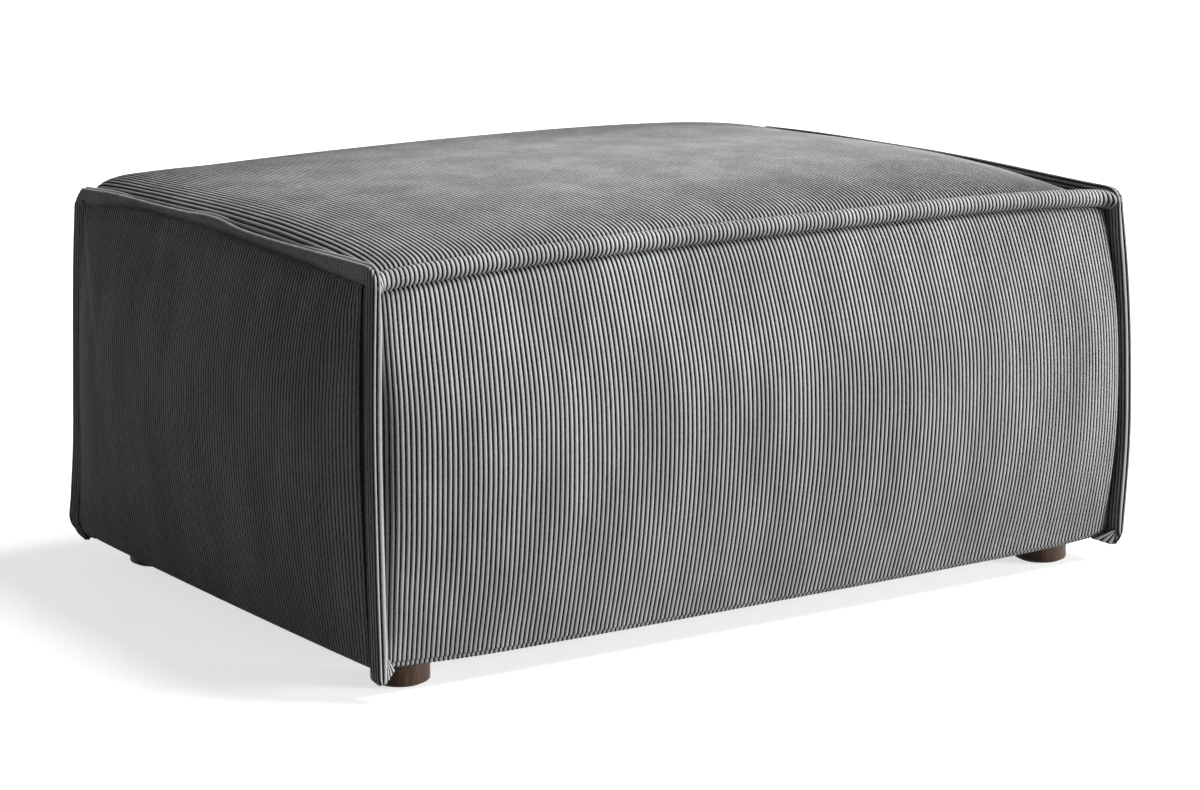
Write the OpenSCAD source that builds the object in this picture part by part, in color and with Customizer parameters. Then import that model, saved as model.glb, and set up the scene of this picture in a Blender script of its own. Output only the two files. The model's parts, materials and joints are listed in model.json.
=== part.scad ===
// Low upholstered pouf with proud flange seams, on four round feet.
// Millimetres, +Z up, origin on the floor under the middle. X runs along the length, the front faces -Y.

/* [Overall size] */
// Length over the outer faces of the side flanges
pouf_w = 970; // [700:5:1300]
// Depth over the tips of the upright flanges
pouf_d = 678; // [520:2:900]
// Height of the crown in the middle of the top
crown_z = 469; // [430:1:560]
// Height of the top seams at the corners
seam_z = 411; // [380:1:430]
// Fall of the crown towards the middles of the sides, and towards the ends
top_dome = 4; // [2:0.5:10]

/* [Feet] */
// Diameter of a foot
foot_d = 60; // [40:1:80]
// Height of a foot without its glide
foot_h = 28; // [22:1:60]
// Edge rounding of a foot
foot_round = 2.5; // [1:0.5:5]
// From the outer face of a side flange to the middle of a foot
foot_inset_x = 57; // [50:1:70]
// From the tip of an upright flange to the middle of a foot
foot_inset_y = 60; // [55:1:70]
// Thickness of a glide
glide_t = 2; // [1:0.5:4]
// Diameter of a glide
glide_d = 48; // [20:1:56]
// Length of a glide's pin
glide_pin = 10; // [6:1:14]
// Diameter of a glide's pin
glide_pin_d = 3; // [2:0.5:4]
// Diameter of the stud that holds a foot
stud_d = 8; // [6:1:10]
// Depth of the stud in the foot
stud_in_foot = 16; // [10:1:18]
// Reach of the stud above the bottom rail
stud_over = 14; // [4:1:30]
// Diameter of a tee nut's barrel
nut_barrel_d = 10; // [9:0.5:14]
// Length of a tee nut's barrel
nut_barrel_h = 12; // [8:1:18]
// Diameter of a tee nut's flange
nut_flange_d = 20; // [16:1:26]
// Thickness of a tee nut's flange
nut_flange_t = 1.5; // [1:0.5:2.5]

/* [Flange seams] */
// Width that a flange stands out of its groove
flange_w = 20; // [12:1:30]
// Thickness of a flange, two plies and their folded edges
flange_t = 7.5; // [5:0.5:10]
// Depth of a flange's root behind the groove
flange_root = 3.3; // [2:0.1:5]
// Swell of the front and back flanges' outer faces
flange_swell = 1.6; // [0.5:0.1:3]
// Height of the cut lower ends of the upright flanges
flange_foot_z = 21; // [16:1:26]
// Height of the slanted cut at a lower end
flange_cut = 12; // [6:1:20]
// Rise of the front and back top seams in their middle
front_seam_bow = 6; // [0:1:12]
// Rise of the side top seams in their middle
side_seam_bow = 8; // [0:1:14]
// Outward bow of the upright edges at half height
edge_bow = 6; // [0:1:14]
// Outward splay of the upright edges at the hem
edge_splay = 5; // [0:1:10]

/* [Cover] */
// Thickness of the corduroy with its backing
cover_t = 3; // [2:0.5:4]
// Swell of the front and back panels beyond their seams
front_swell = 39; // [10:1:60]
// Swell of the left and right panels beyond their seams
side_swell = 26; // [10:1:50]
// Droop of the front and back hems in their middle
front_droop = 6; // [0:1:8]
// Droop of the left and right hems in their middle
side_droop = 1; // [0:1:8]
// Width of the hem turned under the frame, from the seam line
hem_w = 33; // [26:1:40]
// Reach of the hem's roll behind the seam line
hem_roll = 9; // [6:0.5:12]
// Sag of the hem's roll under the dust cover's upper face, at the corners
hem_sag = 2; // [1:0.5:4]
// Thickness of the dust cover
dust_t = 1; // [0.5:0.1:2]
// From the seam line to the edge of the dust cover
dust_inset = 20; // [16:1:26]

/* [Padding] */
// Height of the seat foam in its middle
seat_foam_t = 100; // [60:1:110]
// Thickness of the seat wadding
seat_wad_t = 12; // [6:1:16]
// Thickness of the foam sheets on the sides
side_foam_t = 10; // [6:1:16]
// Least thickness of the side wadding, at its edges
side_wad_min = 1.5; // [1:0.1:3]
// Thickness of the insulator felt
felt_t = 4; // [2:0.5:6]

/* [Frame] */
// Width of the bottom rails, which lie flat
rail_w = 90; // [75:1:110]
// Thickness of the bottom rails
rail_t = 25; // [20:1:32]
// Side of a square corner post
post_w = 50; // [46:1:60]
// Height of the top rails
top_rail_h = 70; // [64:1:90]
// Thickness of the top rails and the middle posts
top_rail_t = 28; // [22:1:34]
// Width of the centre stretcher and the middle posts
stretcher_w = 60; // [40:1:80]
// Thickness of the hardboard skins
skin_t = 3; // [2:0.5:5]
// Diameter of a dowel
dowel_d = 10; // [8:1:12]
// Length of a dowel
dowel_l = 60; // [40:2:80]
// Diameter of a frame screw's shank
screw_d = 4.5; // [4:0.5:6]
// Diameter of a frame screw's head
screw_head_d = 9; // [8:0.5:11]
// Depth that a frame screw bites past the post or rail that it passes
screw_bite = 30; // [20:1:40]
// From a post's faces to the middle of its upright screw
screw_edge = 12; // [10:1:16]

/* [Suspension] */
// Diameter of the spring wire
spring_wire = 3.8; // [3:0.1:4.5]
// Width of a spring over its bends
spring_w = 52; // [44:1:60]
// Bars of a spring, from rail to rail
spring_bars = 28; // [20:2:34]
// Rise of the springs in their middle
spring_crown = 28; // [15:1:40]
// From the frame's side to the middle of the outermost spring
spring_edge = 109; // [80:1:150]
// Thickness of a spring clip
clip_t = 1.2; // [1:0.1:2]
// Width of a spring clip
clip_w = 20; // [14:1:24]
// Length of a spring clip's lip beyond its spring's end bar
clip_lip = 6; // [4:0.5:8]
// From the tail of a clip to its nail
clip_nail_in = 4; // [3:0.5:6]
// Diameter of a clip nail
clip_nail_d = 2.4; // [2:0.1:3]
// Length of a clip nail
clip_nail_l = 22; // [16:1:28]
// Diameter of a tie wire
tie_wire_d = 3; // [2:0.1:4]
// From a side rail's faces to a tie wire's end and its last bend
tie_wire_in = 4; // [2:0.5:8]

/* [Staples] */
// Length of a staple's crown
staple_crown = 10; // [8:1:14]
// Length of a staple's legs
staple_leg = 12; // [10:1:16]
// Thickness of the staple wire
staple_wire = 0.8; // [0.6:0.1:1.2]
// From the edge of the hem to the line of the staples
staple_in = 6; // [5:1:10]
// Staples along the front, and along the back
staples_long = 12; // [6:1:20]
// Staples along each side
staples_short = 6; // [4:1:12]

/* [Hidden] */
gap = 0.3;          // clearance between soft pieces
bore_gap = 0.2;     // added to a bore's diameter for what passes it
end_gap = 1;        // free depth past the end of a pin, a nut or a stud
cut_over = 1;       // reach of a cutting body past the face that it opens
$fn = 48;

// Seam lines: the middle of a side flange, and the groove of the front and back panels
seam_x = pouf_w / 2 - flange_t / 2;
seam_y = pouf_d / 2 - flange_w;

// Half lengths of the panels that end at a flange's inner face or at its root
long_half = pouf_w / 2 - flange_t - gap;
top_half_y = seam_y - flange_t / 2 - gap;
side_half = seam_y - flange_root - gap;

// What lies between a seam line and the frame
wad_back = cover_t + gap + side_wad_min;
foam_face = wad_back + gap;
skin_face = foam_face + side_foam_t;
frame_x = seam_x - skin_face - skin_t;
frame_y = seam_y - skin_face - skin_t;

// Heights, from the floor up
foot_top = glide_t + foot_h;
dust_top = foot_top + dust_t;
frame_z = dust_top + cover_t;
rail_top = frame_z + rail_t;
hem_low = dust_top - hem_sag;          // lowest line of the hem at the corners

// Heights, from the crown down
wad_drop = cover_t + gap;
wad_under = wad_drop + seat_wad_t;
foam_drop = wad_under + gap;
clip_line = clip_t + bore_gap / 2 + spring_wire / 2;   // middle of a spring's end bar over the rail
felt_over = clip_line + gap;                           // underside of the felt over that bar
felt_ease = 0.6;                       // the felt's arch is this much flatter than the springs'
felt_crown = spring_crown - felt_ease;
frame_top = crown_z - foam_drop - seat_foam_t - gap - felt_t - felt_crown - felt_over - clip_line;
foam_half_x = seam_x - skin_face - gap;
foam_half_y = seam_y - skin_face - gap;
sheet_top = seam_z - wad_under - gap;

foot_x = pouf_w / 2 - foot_inset_x;
foot_y = pouf_d / 2 - foot_inset_y;
corners = [[-1, -1], [1, -1], [-1, 1], [1, 1]];

// Distances from an edge at which the soft grids have a line, up to a share of the half length
edge_steps = [0, 4, 11, 22, 38, 62, 100, 155, 230, 330];
edge_share = 0.86;

// Springs: bars on an arc from rail to rail
spring_count = 7;
spring_pitch = 2 * (frame_x - spring_edge) / (spring_count - 1);
spring_half = frame_y - top_rail_t / 2;
spring_r = (pow(spring_half, 2) + pow(spring_crown, 2)) / (2 * spring_crown);
spring_turn = asin(spring_half / spring_r);
spring_step = 2 * spring_turn / (spring_bars - 1);
bend_r = spring_r * sin(spring_step / 2);
bar_l = spring_w - spring_wire - 2 * bend_r;
bend_thin = 0.15;   // the wire draws a little thinner in a bend
bend_seat = 0.05;   // a bend starts this far inside its bars

// Lines of a grid from -1 to 1, close together at both edges
function grid_lines(half) =
  let (steps = [for (s = edge_steps) if (s < edge_share * half) 1 - s / half])
  concat([for (s = steps) -s], [0], [for (i = [len(steps) - 1 : -1 : 0]) steps[i]]);

// Fall of a swollen surface towards an edge: 1 in the middle, 0 at the edge, with form [power, bend]
function fall(s, form) = pow(max(0, 1 - pow(abs(s), form[0])), form[1]);
end_shoulder = [24, 0.8];
front_shoulder = [20, 0.35];
panel_belly = [4, 0.6];
hem_belly = [6, 1];

// Closed solid between two grids of points of the same size, a on its outer side
module sheet_between(a, b) {
  rows = len(a);
  cols = len(a[0]);
  n = rows * cols;
  function pair(i0, i1, i2, i3) = [[i0, i1, i2], [i0, i2, i3]];
  rim = concat(
    [for (j = [0 : cols - 1]) j],
    [for (i = [1 : rows - 1]) i * cols + cols - 1],
    [for (j = [cols - 2 : -1 : 0]) (rows - 1) * cols + j],
    [for (i = [rows - 2 : -1 : 1]) i * cols]
  );
  faces = concat(
    [for (i = [0 : rows - 2], j = [0 : cols - 2])
      let (k = i * cols + j) each pair(k, k + 1, k + cols + 1, k + cols)],
    [for (i = [0 : rows - 2], j = [0 : cols - 2])
      let (k = n + i * cols + j) each pair(k, k + cols, k + cols + 1, k + 1)],
    [for (k = [0 : len(rim) - 1])
      let (p = rim[k], q = rim[(k + 1) % len(rim)]) each pair(p, p + n, q + n, q)]
  );
  polyhedron(points = concat([for (row = a) each row], [for (row = b) each row]), faces = faces);
}

// Closed solid through a run of rings, each a list of points in the same order
module loft(rings) {
  m = len(rings[0]);
  last = len(rings) - 1;
  sides = [for (i = [0 : last - 1], j = [0 : m - 1])
    let (a = i * m + j, b = i * m + (j + 1) % m)
    each [[a, b, b + m], [a, b + m, a + m]]];
  start = [for (j = [1 : m - 2]) [0, j + 1, j]];
  end = [for (j = [1 : m - 2]) [last * m, last * m + j, last * m + j + 1]];
  polyhedron(points = [for (r = rings) each r], faces = concat(sides, start, end));
}

// Top of the pouf: seam height at the edges, steep shoulders and a gentle dome
function seam_height(u, v) = seam_z + front_seam_bow * (1 - u * u) + side_seam_bow * (1 - v * v);
function top_z(u, v) =
  let (
    seam = seam_height(u, v),
    dome = crown_z - top_dome * (u * u + v * v),
    shoulder = fall(u, end_shoulder) * fall(v, front_shoulder)
  )
  seam + (dome - seam) * shoulder;
function top_grid(half_x, half_y, drop) =
  let (us = grid_lines(long_half), vs = grid_lines(top_half_y))
  [for (v = vs) [for (u = us) [u * half_x, v * half_y, top_z(u, v) - drop]]];

// How far an upright edge stands out at height z, from its bow and its splay
function edge_out(z) =
  let (s = min(1, max(0, (z - frame_z) / (seam_z - frame_z))))
  edge_bow * sin(180 * s) + edge_splay * (1 - s);

// Share of a side panel's swell at step t, from its top seam to its hem
swell_end = 165;    // degrees of the sine that the swell follows
swell_bend = 1.15;
function side_share(t) = pow(sin(swell_end * t), swell_bend);
panel_steps = [0, 0.04, 0.1, 0.18, 0.28, 0.4, 0.52, 0.64, 0.76, 0.88, 1];

// Roll of the hem: [share of the reach at the hem, share of the splay, share of the roll's height]
hem_turn = [[0.8, 0.5, 0.4], [0.3, 0, 0]];
hem_back = [0.45, 0.4];     // last bend of the roll, as shares of its reach and of its rise

// Profile of a side panel at u along it, as [out of the seam line, height], from the top seam to the hem
function panel_profile(u, swell, bow, droop) =
  let (
    top = seam_z - gap + bow * (1 - u * u),
    low = hem_low - droop * fall(u, hem_belly),
    bottom = low + hem_roll,
    across = swell * fall(u, panel_belly),
    out = across * side_share(1)
  )
  concat(
    [for (t = panel_steps)
      let (z = top + (bottom - top) * t) [across * side_share(t) + edge_out(z), z]],
    [for (h = hem_turn) [out * h[0] + edge_splay * h[1], low + h[2] * hem_roll]],
    [
      [-hem_back[0] * hem_roll, low + hem_back[1] * (dust_top - low)],
      [-hem_roll, dust_top],
      [-hem_w, dust_top]
    ]
  );

// The same profile drawn in by t
function inner_profile(p, t) =
  [for (j = [0 : len(p) - 1])
    let (
      along = p[min(j + 1, len(p) - 1)] - p[max(j - 1, 0)],
      out = [-along[1], along[0]] / norm(along)
    )
    p[j] - t * (j == 0 ? [1, 0] : j == len(p) - 1 ? [0, -1] : out)];

// Grid of a side panel drawn in by t, with mitred hem ends
function panel_grid(side, t) =
  let (
    half = half_of(side),
    seam = seam_of(side),
    us = grid_lines(half),
    profiles = [for (u = us)
      inner_profile(panel_profile(u, swell_of(side), bow_of(side), droop_of(side)), t)]
  )
  [for (j = [0 : len(profiles[0]) - 1])
    [for (i = [0 : len(us) - 1])
      let (p = profiles[i][j], reach = half - t + edge_out(p[1]) + min(0, p[0] + t))
      [us[i] * reach, -seam - p[0], p[1]]]];

// Sides: draws its children, made for the front, on the given side
module on_side(side) {
  turn = side == "front" ? 0 : side == "back" ? 180 : side == "left" ? -90 : 90;
  rotate([0, 0, turn]) children();
}
function is_long(side) = side == "front" || side == "back";
function half_of(side) = is_long(side) ? long_half : side_half;
function seam_of(side) = is_long(side) ? seam_y : seam_x;
function swell_of(side) = is_long(side) ? front_swell : side_swell;
function bow_of(side) = is_long(side) ? front_seam_bow : side_seam_bow;
function droop_of(side) = is_long(side) ? front_droop : side_droop;

module top_cover_panel() {
  color([0.25, 0.26, 0.26])
    sheet_between(
      top_grid(long_half, top_half_y, 0),
      top_grid(long_half - cover_t, top_half_y - cover_t, cover_t)
    );
}

module side_cover_panel(side) {
  color([0.23, 0.24, 0.24])
    on_side(side)
      sheet_between(panel_grid(side, 0), panel_grid(side, cover_t));
}

// Half of a side flange's cross-section, root first: [share of its reach, share of the half thickness
// taken off at the fold, share of the half thickness]
flange_outline = [[0, 0, 0.86], [0.4, 0, 1], [1, 0.7, 0.85], [1, 0, 0.35]];
function side_flange_section(reach) =
  let (half = flange_t / 2, side = [for (p = flange_outline) [reach * p[0] - half * p[1], half * p[2]]])
  concat([for (p = side) [p[0], -p[1]]], [for (i = [len(side) - 1 : -1 : 0]) side[i]]);

// Side flange: up the front edge, along the top and down the back edge, in the plane of the side panel
flange_hub = 2;     // from a corner's turning point to the flange's root
corner_square = 5;  // how square the flange turns its upper corners
cut_scale = 0.4;    // share of the flange's reach that is left at the bottom of the cut
lean_share = 0.5;   // share of an edge's outward bow that widens the flange
flange_reach = flange_w + flange_root;
leg_heights = [0.02, 0.08, 0.2, 0.35, 0.5, 0.65, 0.8, 0.92];
function flange_leg() =
  let (hub_z = seam_z - flange_hub, from = flange_foot_z + flange_cut)
  concat(
    [[flange_foot_z, 0, cut_scale], [from, 0, 1]],
    [for (s = leg_heights) [from + s * (hub_z - from), 0, 1]],
    [for (a = [0 : 15 : 90])
      [hub_z, a, pow(pow(cos(a), corner_square) + pow(sin(a), corner_square), -1 / corner_square)]]
  );
function flange_ring(z, turn, scale) =
  let (out = edge_out(z), centre_y = seam_y - flange_root - flange_hub + out)
  [for (p = side_flange_section(flange_reach + lean_share * out))
    let (r = (flange_hub + p[0]) * scale)
    [seam_x + out + p[1], -(centre_y + r * cos(turn)), z + r * sin(turn)]];
module side_flange() {
  hub_y = seam_y - flange_root - flange_hub;
  leg = [for (p = flange_leg()) flange_ring(p[0], p[1], p[2])];
  top = [for (v = [-0.9 : 0.2 : 0.91])
    [for (p = side_flange_section(flange_reach))
      [seam_x + p[1], v * hub_y, seam_z + side_seam_bow * (1 - v * v) + p[0]]]];
  back = [for (i = [len(leg) - 1 : -1 : 0]) [for (p = leg[i]) [p[0], -p[1], p[2]]]];
  color([0.21, 0.22, 0.22])
    loft(concat(leg, top, back));
}
module right_side_flange() side_flange();
module left_side_flange() mirror([1, 0, 0]) side_flange();

// Top flange: a lip that stands up along the front or the back top seam. Its section is given as
// [share of the half thickness, share of the swell, share of the lip's height]
lip_outline = [
  [-0.7, 0, 0], [-1, 0, 0.25], [-1, 0, 0.8], [-0.4, 0, 1], [0.4, 0, 1],
  [1, 0.5, 0.8], [1, 1, 0.45], [1, 0.4, 0.12], [0.7, 0, 0]
];
module top_flange(side) {
  section = [for (p = lip_outline) [p[0] * flange_t / 2 + p[1] * flange_swell, p[2] * flange_w]];
  rings = [for (u = grid_lines(long_half))
    [for (p = section)
      [u * long_half, -seam_y - p[0], seam_z + front_seam_bow * (1 - u * u) + p[1]]]];
  color([0.26, 0.27, 0.27])
    on_side(side)
      loft(rings);
}

// Places of the staples along one side, made for the front
staple_line = hem_w + staple_in;
function staple_places(side) =
  let (
    count = is_long(side) ? staples_long : staples_short,
    half = is_long(side) ? foot_x - foot_d / 2 - 2 * staple_crown : frame_y - rail_w - 2 * staple_crown
  )
  [for (i = [0 : count - 1]) [half * (2 * i / (count - 1) - 1), -seam_of(side) + staple_line]];
module staple_legs(side, clear) {
  w = staple_wire + clear;
  for (p = staple_places(side), s = [-1, 1])
    translate([p[0] + s * (staple_crown - staple_wire) / 2, p[1], foot_top + (staple_leg - clear) / 2])
      cube([w, w, staple_leg + clear], center = true);
}

module dust_cover() {
  color([0.08, 0.08, 0.08])
    difference() {
      translate([-seam_x + dust_inset, -seam_y + dust_inset, foot_top])
        cube([2 * (seam_x - dust_inset), 2 * (seam_y - dust_inset), dust_t]);
      for (c = corners)
        translate([c[0] * foot_x, c[1] * foot_y, foot_top - dust_t])
          cylinder(d = stud_d + bore_gap, h = 3 * dust_t);
      for (side = ["front", "back", "left", "right"])
        on_side(side)
          staple_legs(side, bore_gap);
    }
}

module dust_cover_staples() {
  color([0.75, 0.75, 0.77])
    for (side = ["front", "back", "left", "right"])
      on_side(side) {
        staple_legs(side, 0);
        for (p = staple_places(side))
          translate([p[0], p[1], foot_top - staple_wire / 2])
            cube([staple_crown, staple_wire, staple_wire], center = true);
      }
}

// Frame screws of the corner at +X, +Y: one up through the bottom rail, two through the post into a top rail
screw_x = frame_x - screw_edge;
screw_y = frame_y - post_w + screw_edge;
screw_levels = [0.3, 0.7];  // shares of the top rail's height, from its upper face down
function screw_runs() =
  let (side_z = frame_top - screw_levels[0] * top_rail_h, end_z = frame_top - screw_levels[1] * top_rail_h)
  [
    [[screw_x, screw_y, frame_z], [0, 0, 0], rail_t + screw_bite],
    [[frame_x, frame_y - top_rail_t / 2, side_z], [0, -90, 0], post_w + screw_bite],
    [[frame_x - top_rail_t / 2, frame_y, end_z], [90, 0, 0], post_w + screw_bite]
  ];
module screw_set(clear) {
  head_h = (screw_head_d - screw_d) / 2;
  for (c = corners)
    mirror([c[0] < 0 ? 1 : 0, 0, 0])
      mirror([0, c[1] < 0 ? 1 : 0, 0])
        for (s = screw_runs())
          translate(s[0])
            rotate(s[1]) {
              cylinder(d = screw_d + clear, h = s[2] + clear);
              cylinder(d1 = screw_head_d + clear, d2 = screw_d + clear, h = head_h);
            }
}

// Dowels of the bottom frame: side rails and stretcher into the edges of the long rails
dowel_places = [-0.25, 0.25];   // shares of the rail's width
module dowel_set(clear) {
  side_mid = frame_x - rail_w / 2;
  for (x = [-side_mid, 0, side_mid], s = [-1, 1], off = dowel_places)
    translate([x + off * (x == 0 ? stretcher_w : rail_w), s * (frame_y - rail_w), frame_z + rail_t / 2])
      rotate([90, 0, 0])
        cylinder(d = dowel_d + clear, h = dowel_l + 2 * clear, center = true);
}

module at_feet(z) {
  for (c = corners)
    translate([c[0] * foot_x, c[1] * foot_y, z]) children();
}

module long_bottom_rail(side) {
  color([0.80, 0.66, 0.46])
    difference() {
      on_side(side)
        translate([-frame_x, -frame_y, frame_z])
          cube([2 * frame_x, rail_w, rail_t]);
      at_feet(frame_z - cut_over)
        cylinder(d = nut_barrel_d + bore_gap, h = rail_t + 2 * cut_over);
      screw_set(bore_gap);
      dowel_set(bore_gap);
      on_side(side)
        staple_legs(side, bore_gap);
    }
}

module side_bottom_rail(side) {
  length = frame_y - rail_w;
  color([0.80, 0.66, 0.46])
    difference() {
      on_side(side)
        translate([-length, -frame_x, frame_z])
          cube([2 * length, rail_w, rail_t]);
      dowel_set(bore_gap);
      on_side(side)
        staple_legs(side, bore_gap);
    }
}

module centre_stretcher() {
  length = frame_y - rail_w;
  color([0.80, 0.66, 0.46])
    difference() {
      translate([-stretcher_w / 2, -length, frame_z])
        cube([stretcher_w, 2 * length, rail_t]);
      dowel_set(bore_gap);
    }
}

// Corner post, bored at its foot for the stud and the tee nut's flange
module corner_post(c) {
  color([0.84, 0.71, 0.52])
    difference() {
      translate([c[0] * (frame_x - post_w / 2), c[1] * (frame_y - post_w / 2), (rail_top + frame_top) / 2])
        cube([post_w, post_w, frame_top - rail_top], center = true);
      translate([c[0] * foot_x, c[1] * foot_y, rail_top - cut_over]) {
        cylinder(d = stud_d + 2 * end_gap, h = stud_over + cut_over + 2 * end_gap);
        cylinder(d = nut_flange_d + end_gap, h = nut_flange_t + cut_over + gap);
      }
      screw_set(bore_gap);
    }
}

module top_rail(side) {
  half = is_long(side) ? frame_x - post_w : frame_y - post_w;
  face = is_long(side) ? frame_y : frame_x;
  color([0.84, 0.71, 0.52])
    difference() {
      on_side(side)
        translate([-half, -face, frame_top - top_rail_h])
          cube([2 * half, top_rail_t, top_rail_h]);
      screw_set(bore_gap);
      if (is_long(side))
        clip_nail_set(bore_gap);
    }
}

module middle_post(side) {
  height = frame_top - top_rail_h - rail_top;
  color([0.84, 0.71, 0.52])
    on_side(side)
      translate([-stretcher_w / 2, -frame_y, rail_top])
        cube([stretcher_w, top_rail_t, height]);
}

module skin(side) {
  half = is_long(side) ? frame_x + skin_t : frame_y;
  face = is_long(side) ? frame_y : frame_x;
  color([0.55, 0.40, 0.27])
    on_side(side)
      translate([-half, -face - skin_t, frame_z])
        cube([2 * half, skin_t, frame_top - frame_z]);
}

module frame_screws() {
  color([0.80, 0.72, 0.45])
    screw_set(0);
}

module rail_dowels() {
  color([0.88, 0.76, 0.58])
    dowel_set(0);
}

// Bar i of a spring, as [distance from the middle, height]
function bar_at(i) =
  let (a = -spring_turn + i * spring_step)
  [spring_r * sin(a), frame_top + clip_line + spring_crown - spring_r * (1 - cos(a))];

function spring_x(k) = (k - (spring_count - 1) / 2) * spring_pitch;

// Zigzag spring k: straight bars across it, joined by half turns on alternate sides
module zigzag_spring(k) {
  color([0.30, 0.31, 0.33])
    translate([spring_x(k), 0, 0]) {
      for (i = [0 : spring_bars - 1])
        translate([0, bar_at(i)[0], bar_at(i)[1]])
          rotate([0, 90, 0])
            cylinder(d = spring_wire, h = bar_l, center = true);
      for (i = [0 : spring_bars - 2])
        spring_bend(bar_at(i), bar_at(i + 1), i % 2 == 0 ? 1 : -1);
    }
}
module spring_bend(a, b, s) {
  mid = (a + b) / 2;
  translate([s * (bar_l / 2 - bend_seat), mid[0], mid[1]])
    rotate([atan2(b[1] - a[1], b[0] - a[0]), 0, 0])
      rotate([0, 0, -90 * s])
        rotate_extrude(angle = 180)
          translate([bend_r, 0])
            circle(d = spring_wire - bend_thin);
}

// Clip that hooks over a spring's end bar from outside, drawn as a profile across the rail
clip_tail = top_rail_t / 2 - end_gap;
nail_line = clip_tail - clip_nail_in;
module clip_profile() {
  ring = clip_line;
  hole = clip_line - clip_t;
  translate([-clip_tail, 0])
    square([clip_tail + clip_lip, clip_t]);
  translate([0, 2 * ring - clip_t])
    square([clip_lip, clip_t]);
  translate([0, ring])
    difference() {
      circle(r = ring);
      circle(r = hole);
      translate([0, -ring])
        square([ring, 2 * ring]);
    }
}

module at_clips() {
  for (side = ["front", "back"], k = [0 : spring_count - 1])
    on_side(side)
      translate([spring_x(k), -spring_half, frame_top]) children();
}

clip_nail_head = 1;     // thickness of a clip nail's head
module clip_nail_set(clear) {
  at_clips() {
    translate([0, -nail_line, clip_t - clip_nail_l - clear])
      cylinder(d = clip_nail_d + clear, h = clip_nail_l + clear);
    translate([0, -nail_line, clip_t])
      cylinder(d = 2 * clip_nail_d, h = clip_nail_head);
  }
}

module spring_clips() {
  color([0.72, 0.73, 0.75])
    difference() {
      at_clips()
        rotate([90, 0, 90])
          linear_extrude(clip_w, center = true)
            clip_profile();
      clip_nail_set(bore_gap);
    }
}

module clip_nails() {
  color([0.60, 0.61, 0.63])
    clip_nail_set(0);
}

// Tie wires across the springs, under the bars, bent down to the side rails
tie_bars = [round(spring_bars / 3), spring_bars - 1 - round(spring_bars / 3)];
wire_sides = 12;
module spring_tie_wires() {
  over_x = spring_x(spring_count - 1) + spring_w / 2;
  rail_x = frame_x - top_rail_t + tie_wire_in;
  end_x = frame_x - tie_wire_in;
  low = frame_top + tie_wire_d / 2;
  color([0.70, 0.62, 0.48])
    for (i = tie_bars) {
      high = bar_at(i)[1] - (spring_wire + tie_wire_d) / 2 - bore_gap / 2;
      path = [[-end_x, low], [-rail_x, low], [-over_x, high], [over_x, high], [rail_x, low], [end_x, low]];
      translate([0, bar_at(i)[0], 0])
        loft([for (j = [0 : len(path) - 1]) wire_ring(path, j)]);
    }
}

// Ring of a wire at point j of its path [x, z], mitred between its two runs
function wire_ring(path, j) =
  let (
    last = len(path) - 1,
    before = path[max(j, 1)] - path[max(j, 1) - 1],
    after = path[min(j, last - 1) + 1] - path[min(j, last - 1)],
    a = before / norm(before),
    b = after / norm(after),
    along = (a + b) / norm(a + b),
    r = tie_wire_d / 2,
    wide = r / (along * a)
  )
  [for (k = [0 : wire_sides - 1])
    let (turn = 360 * k / wire_sides, out = wide * sin(turn))
    [path[j][0] - out * along[1], r * cos(turn), path[j][1] + out * along[0]]];

// Underside of the felt, arched over the springs
function felt_under(y) =
  frame_top + clip_line + felt_over + felt_crown * max(0, 1 - pow(y / spring_half, 2));
function arch_grid(us, half_x, half_y, lift) =
  [for (v = grid_lines(top_half_y)) [for (u = us)
    [u * half_x, v * half_y, felt_under(v * half_y) + lift]]];

module insulator_felt() {
  color([0.72, 0.70, 0.66])
    sheet_between(
      arch_grid([-1, 1], foam_half_x, foam_half_y, felt_t),
      arch_grid([-1, 1], foam_half_x, foam_half_y, 0)
    );
}

module seat_foam() {
  color([0.95, 0.90, 0.70])
    sheet_between(
      top_grid(foam_half_x, foam_half_y, foam_drop),
      arch_grid(grid_lines(long_half), foam_half_x, foam_half_y, felt_t + gap)
    );
}

module seat_wadding() {
  color([0.96, 0.96, 0.95])
    sheet_between(
      top_grid(long_half - wad_drop, top_half_y - wad_drop, wad_drop),
      top_grid(foam_half_x + gap, foam_half_y + gap, wad_under)
    );
}

module side_foam(side) {
  half = is_long(side) ? seam_x - foam_face : seam_y - skin_face - gap;
  color([0.95, 0.90, 0.70])
    on_side(side)
      translate([-half, -seam_of(side) + foam_face, frame_z])
        cube([2 * half, side_foam_t, sheet_top - frame_z]);
}

// Side wadding: flat against its foam sheet, swollen under its cover panel
module side_wadding(side) {
  skin_grid = panel_grid(side, cover_t + gap);
  rows = len(panel_steps);
  outer = [for (j = [0 : rows - 1]) skin_grid[j]];
  inner = [for (row = outer) [for (p = row) [p[0], -seam_of(side) + wad_back, max(p[2], frame_z)]]];
  color([0.96, 0.96, 0.95])
    on_side(side)
      sheet_between(outer, inner);
}

foot_bevel = 1;     // at the upper edge
module foot(c) {
  r = foot_d / 2;
  color([0.16, 0.11, 0.08])
    translate([c[0] * foot_x, c[1] * foot_y, glide_t])
      difference() {
        rotate_extrude()
          polygon(concat(
            [[0, 0]],
            [for (a = [-90 : 15 : 0]) [r - foot_round * (1 - cos(a)), foot_round * (1 + sin(a))]],
            [[r, foot_h - foot_bevel], [r - foot_bevel, foot_h], [0, foot_h]]
          ));
        translate([0, 0, foot_h - stud_in_foot - end_gap])
          cylinder(d = stud_d + bore_gap, h = stud_in_foot + end_gap + cut_over);
        translate([0, 0, -cut_over])
          cylinder(d = glide_pin_d + bore_gap, h = glide_pin + cut_over + end_gap / 2);
      }
}

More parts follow.
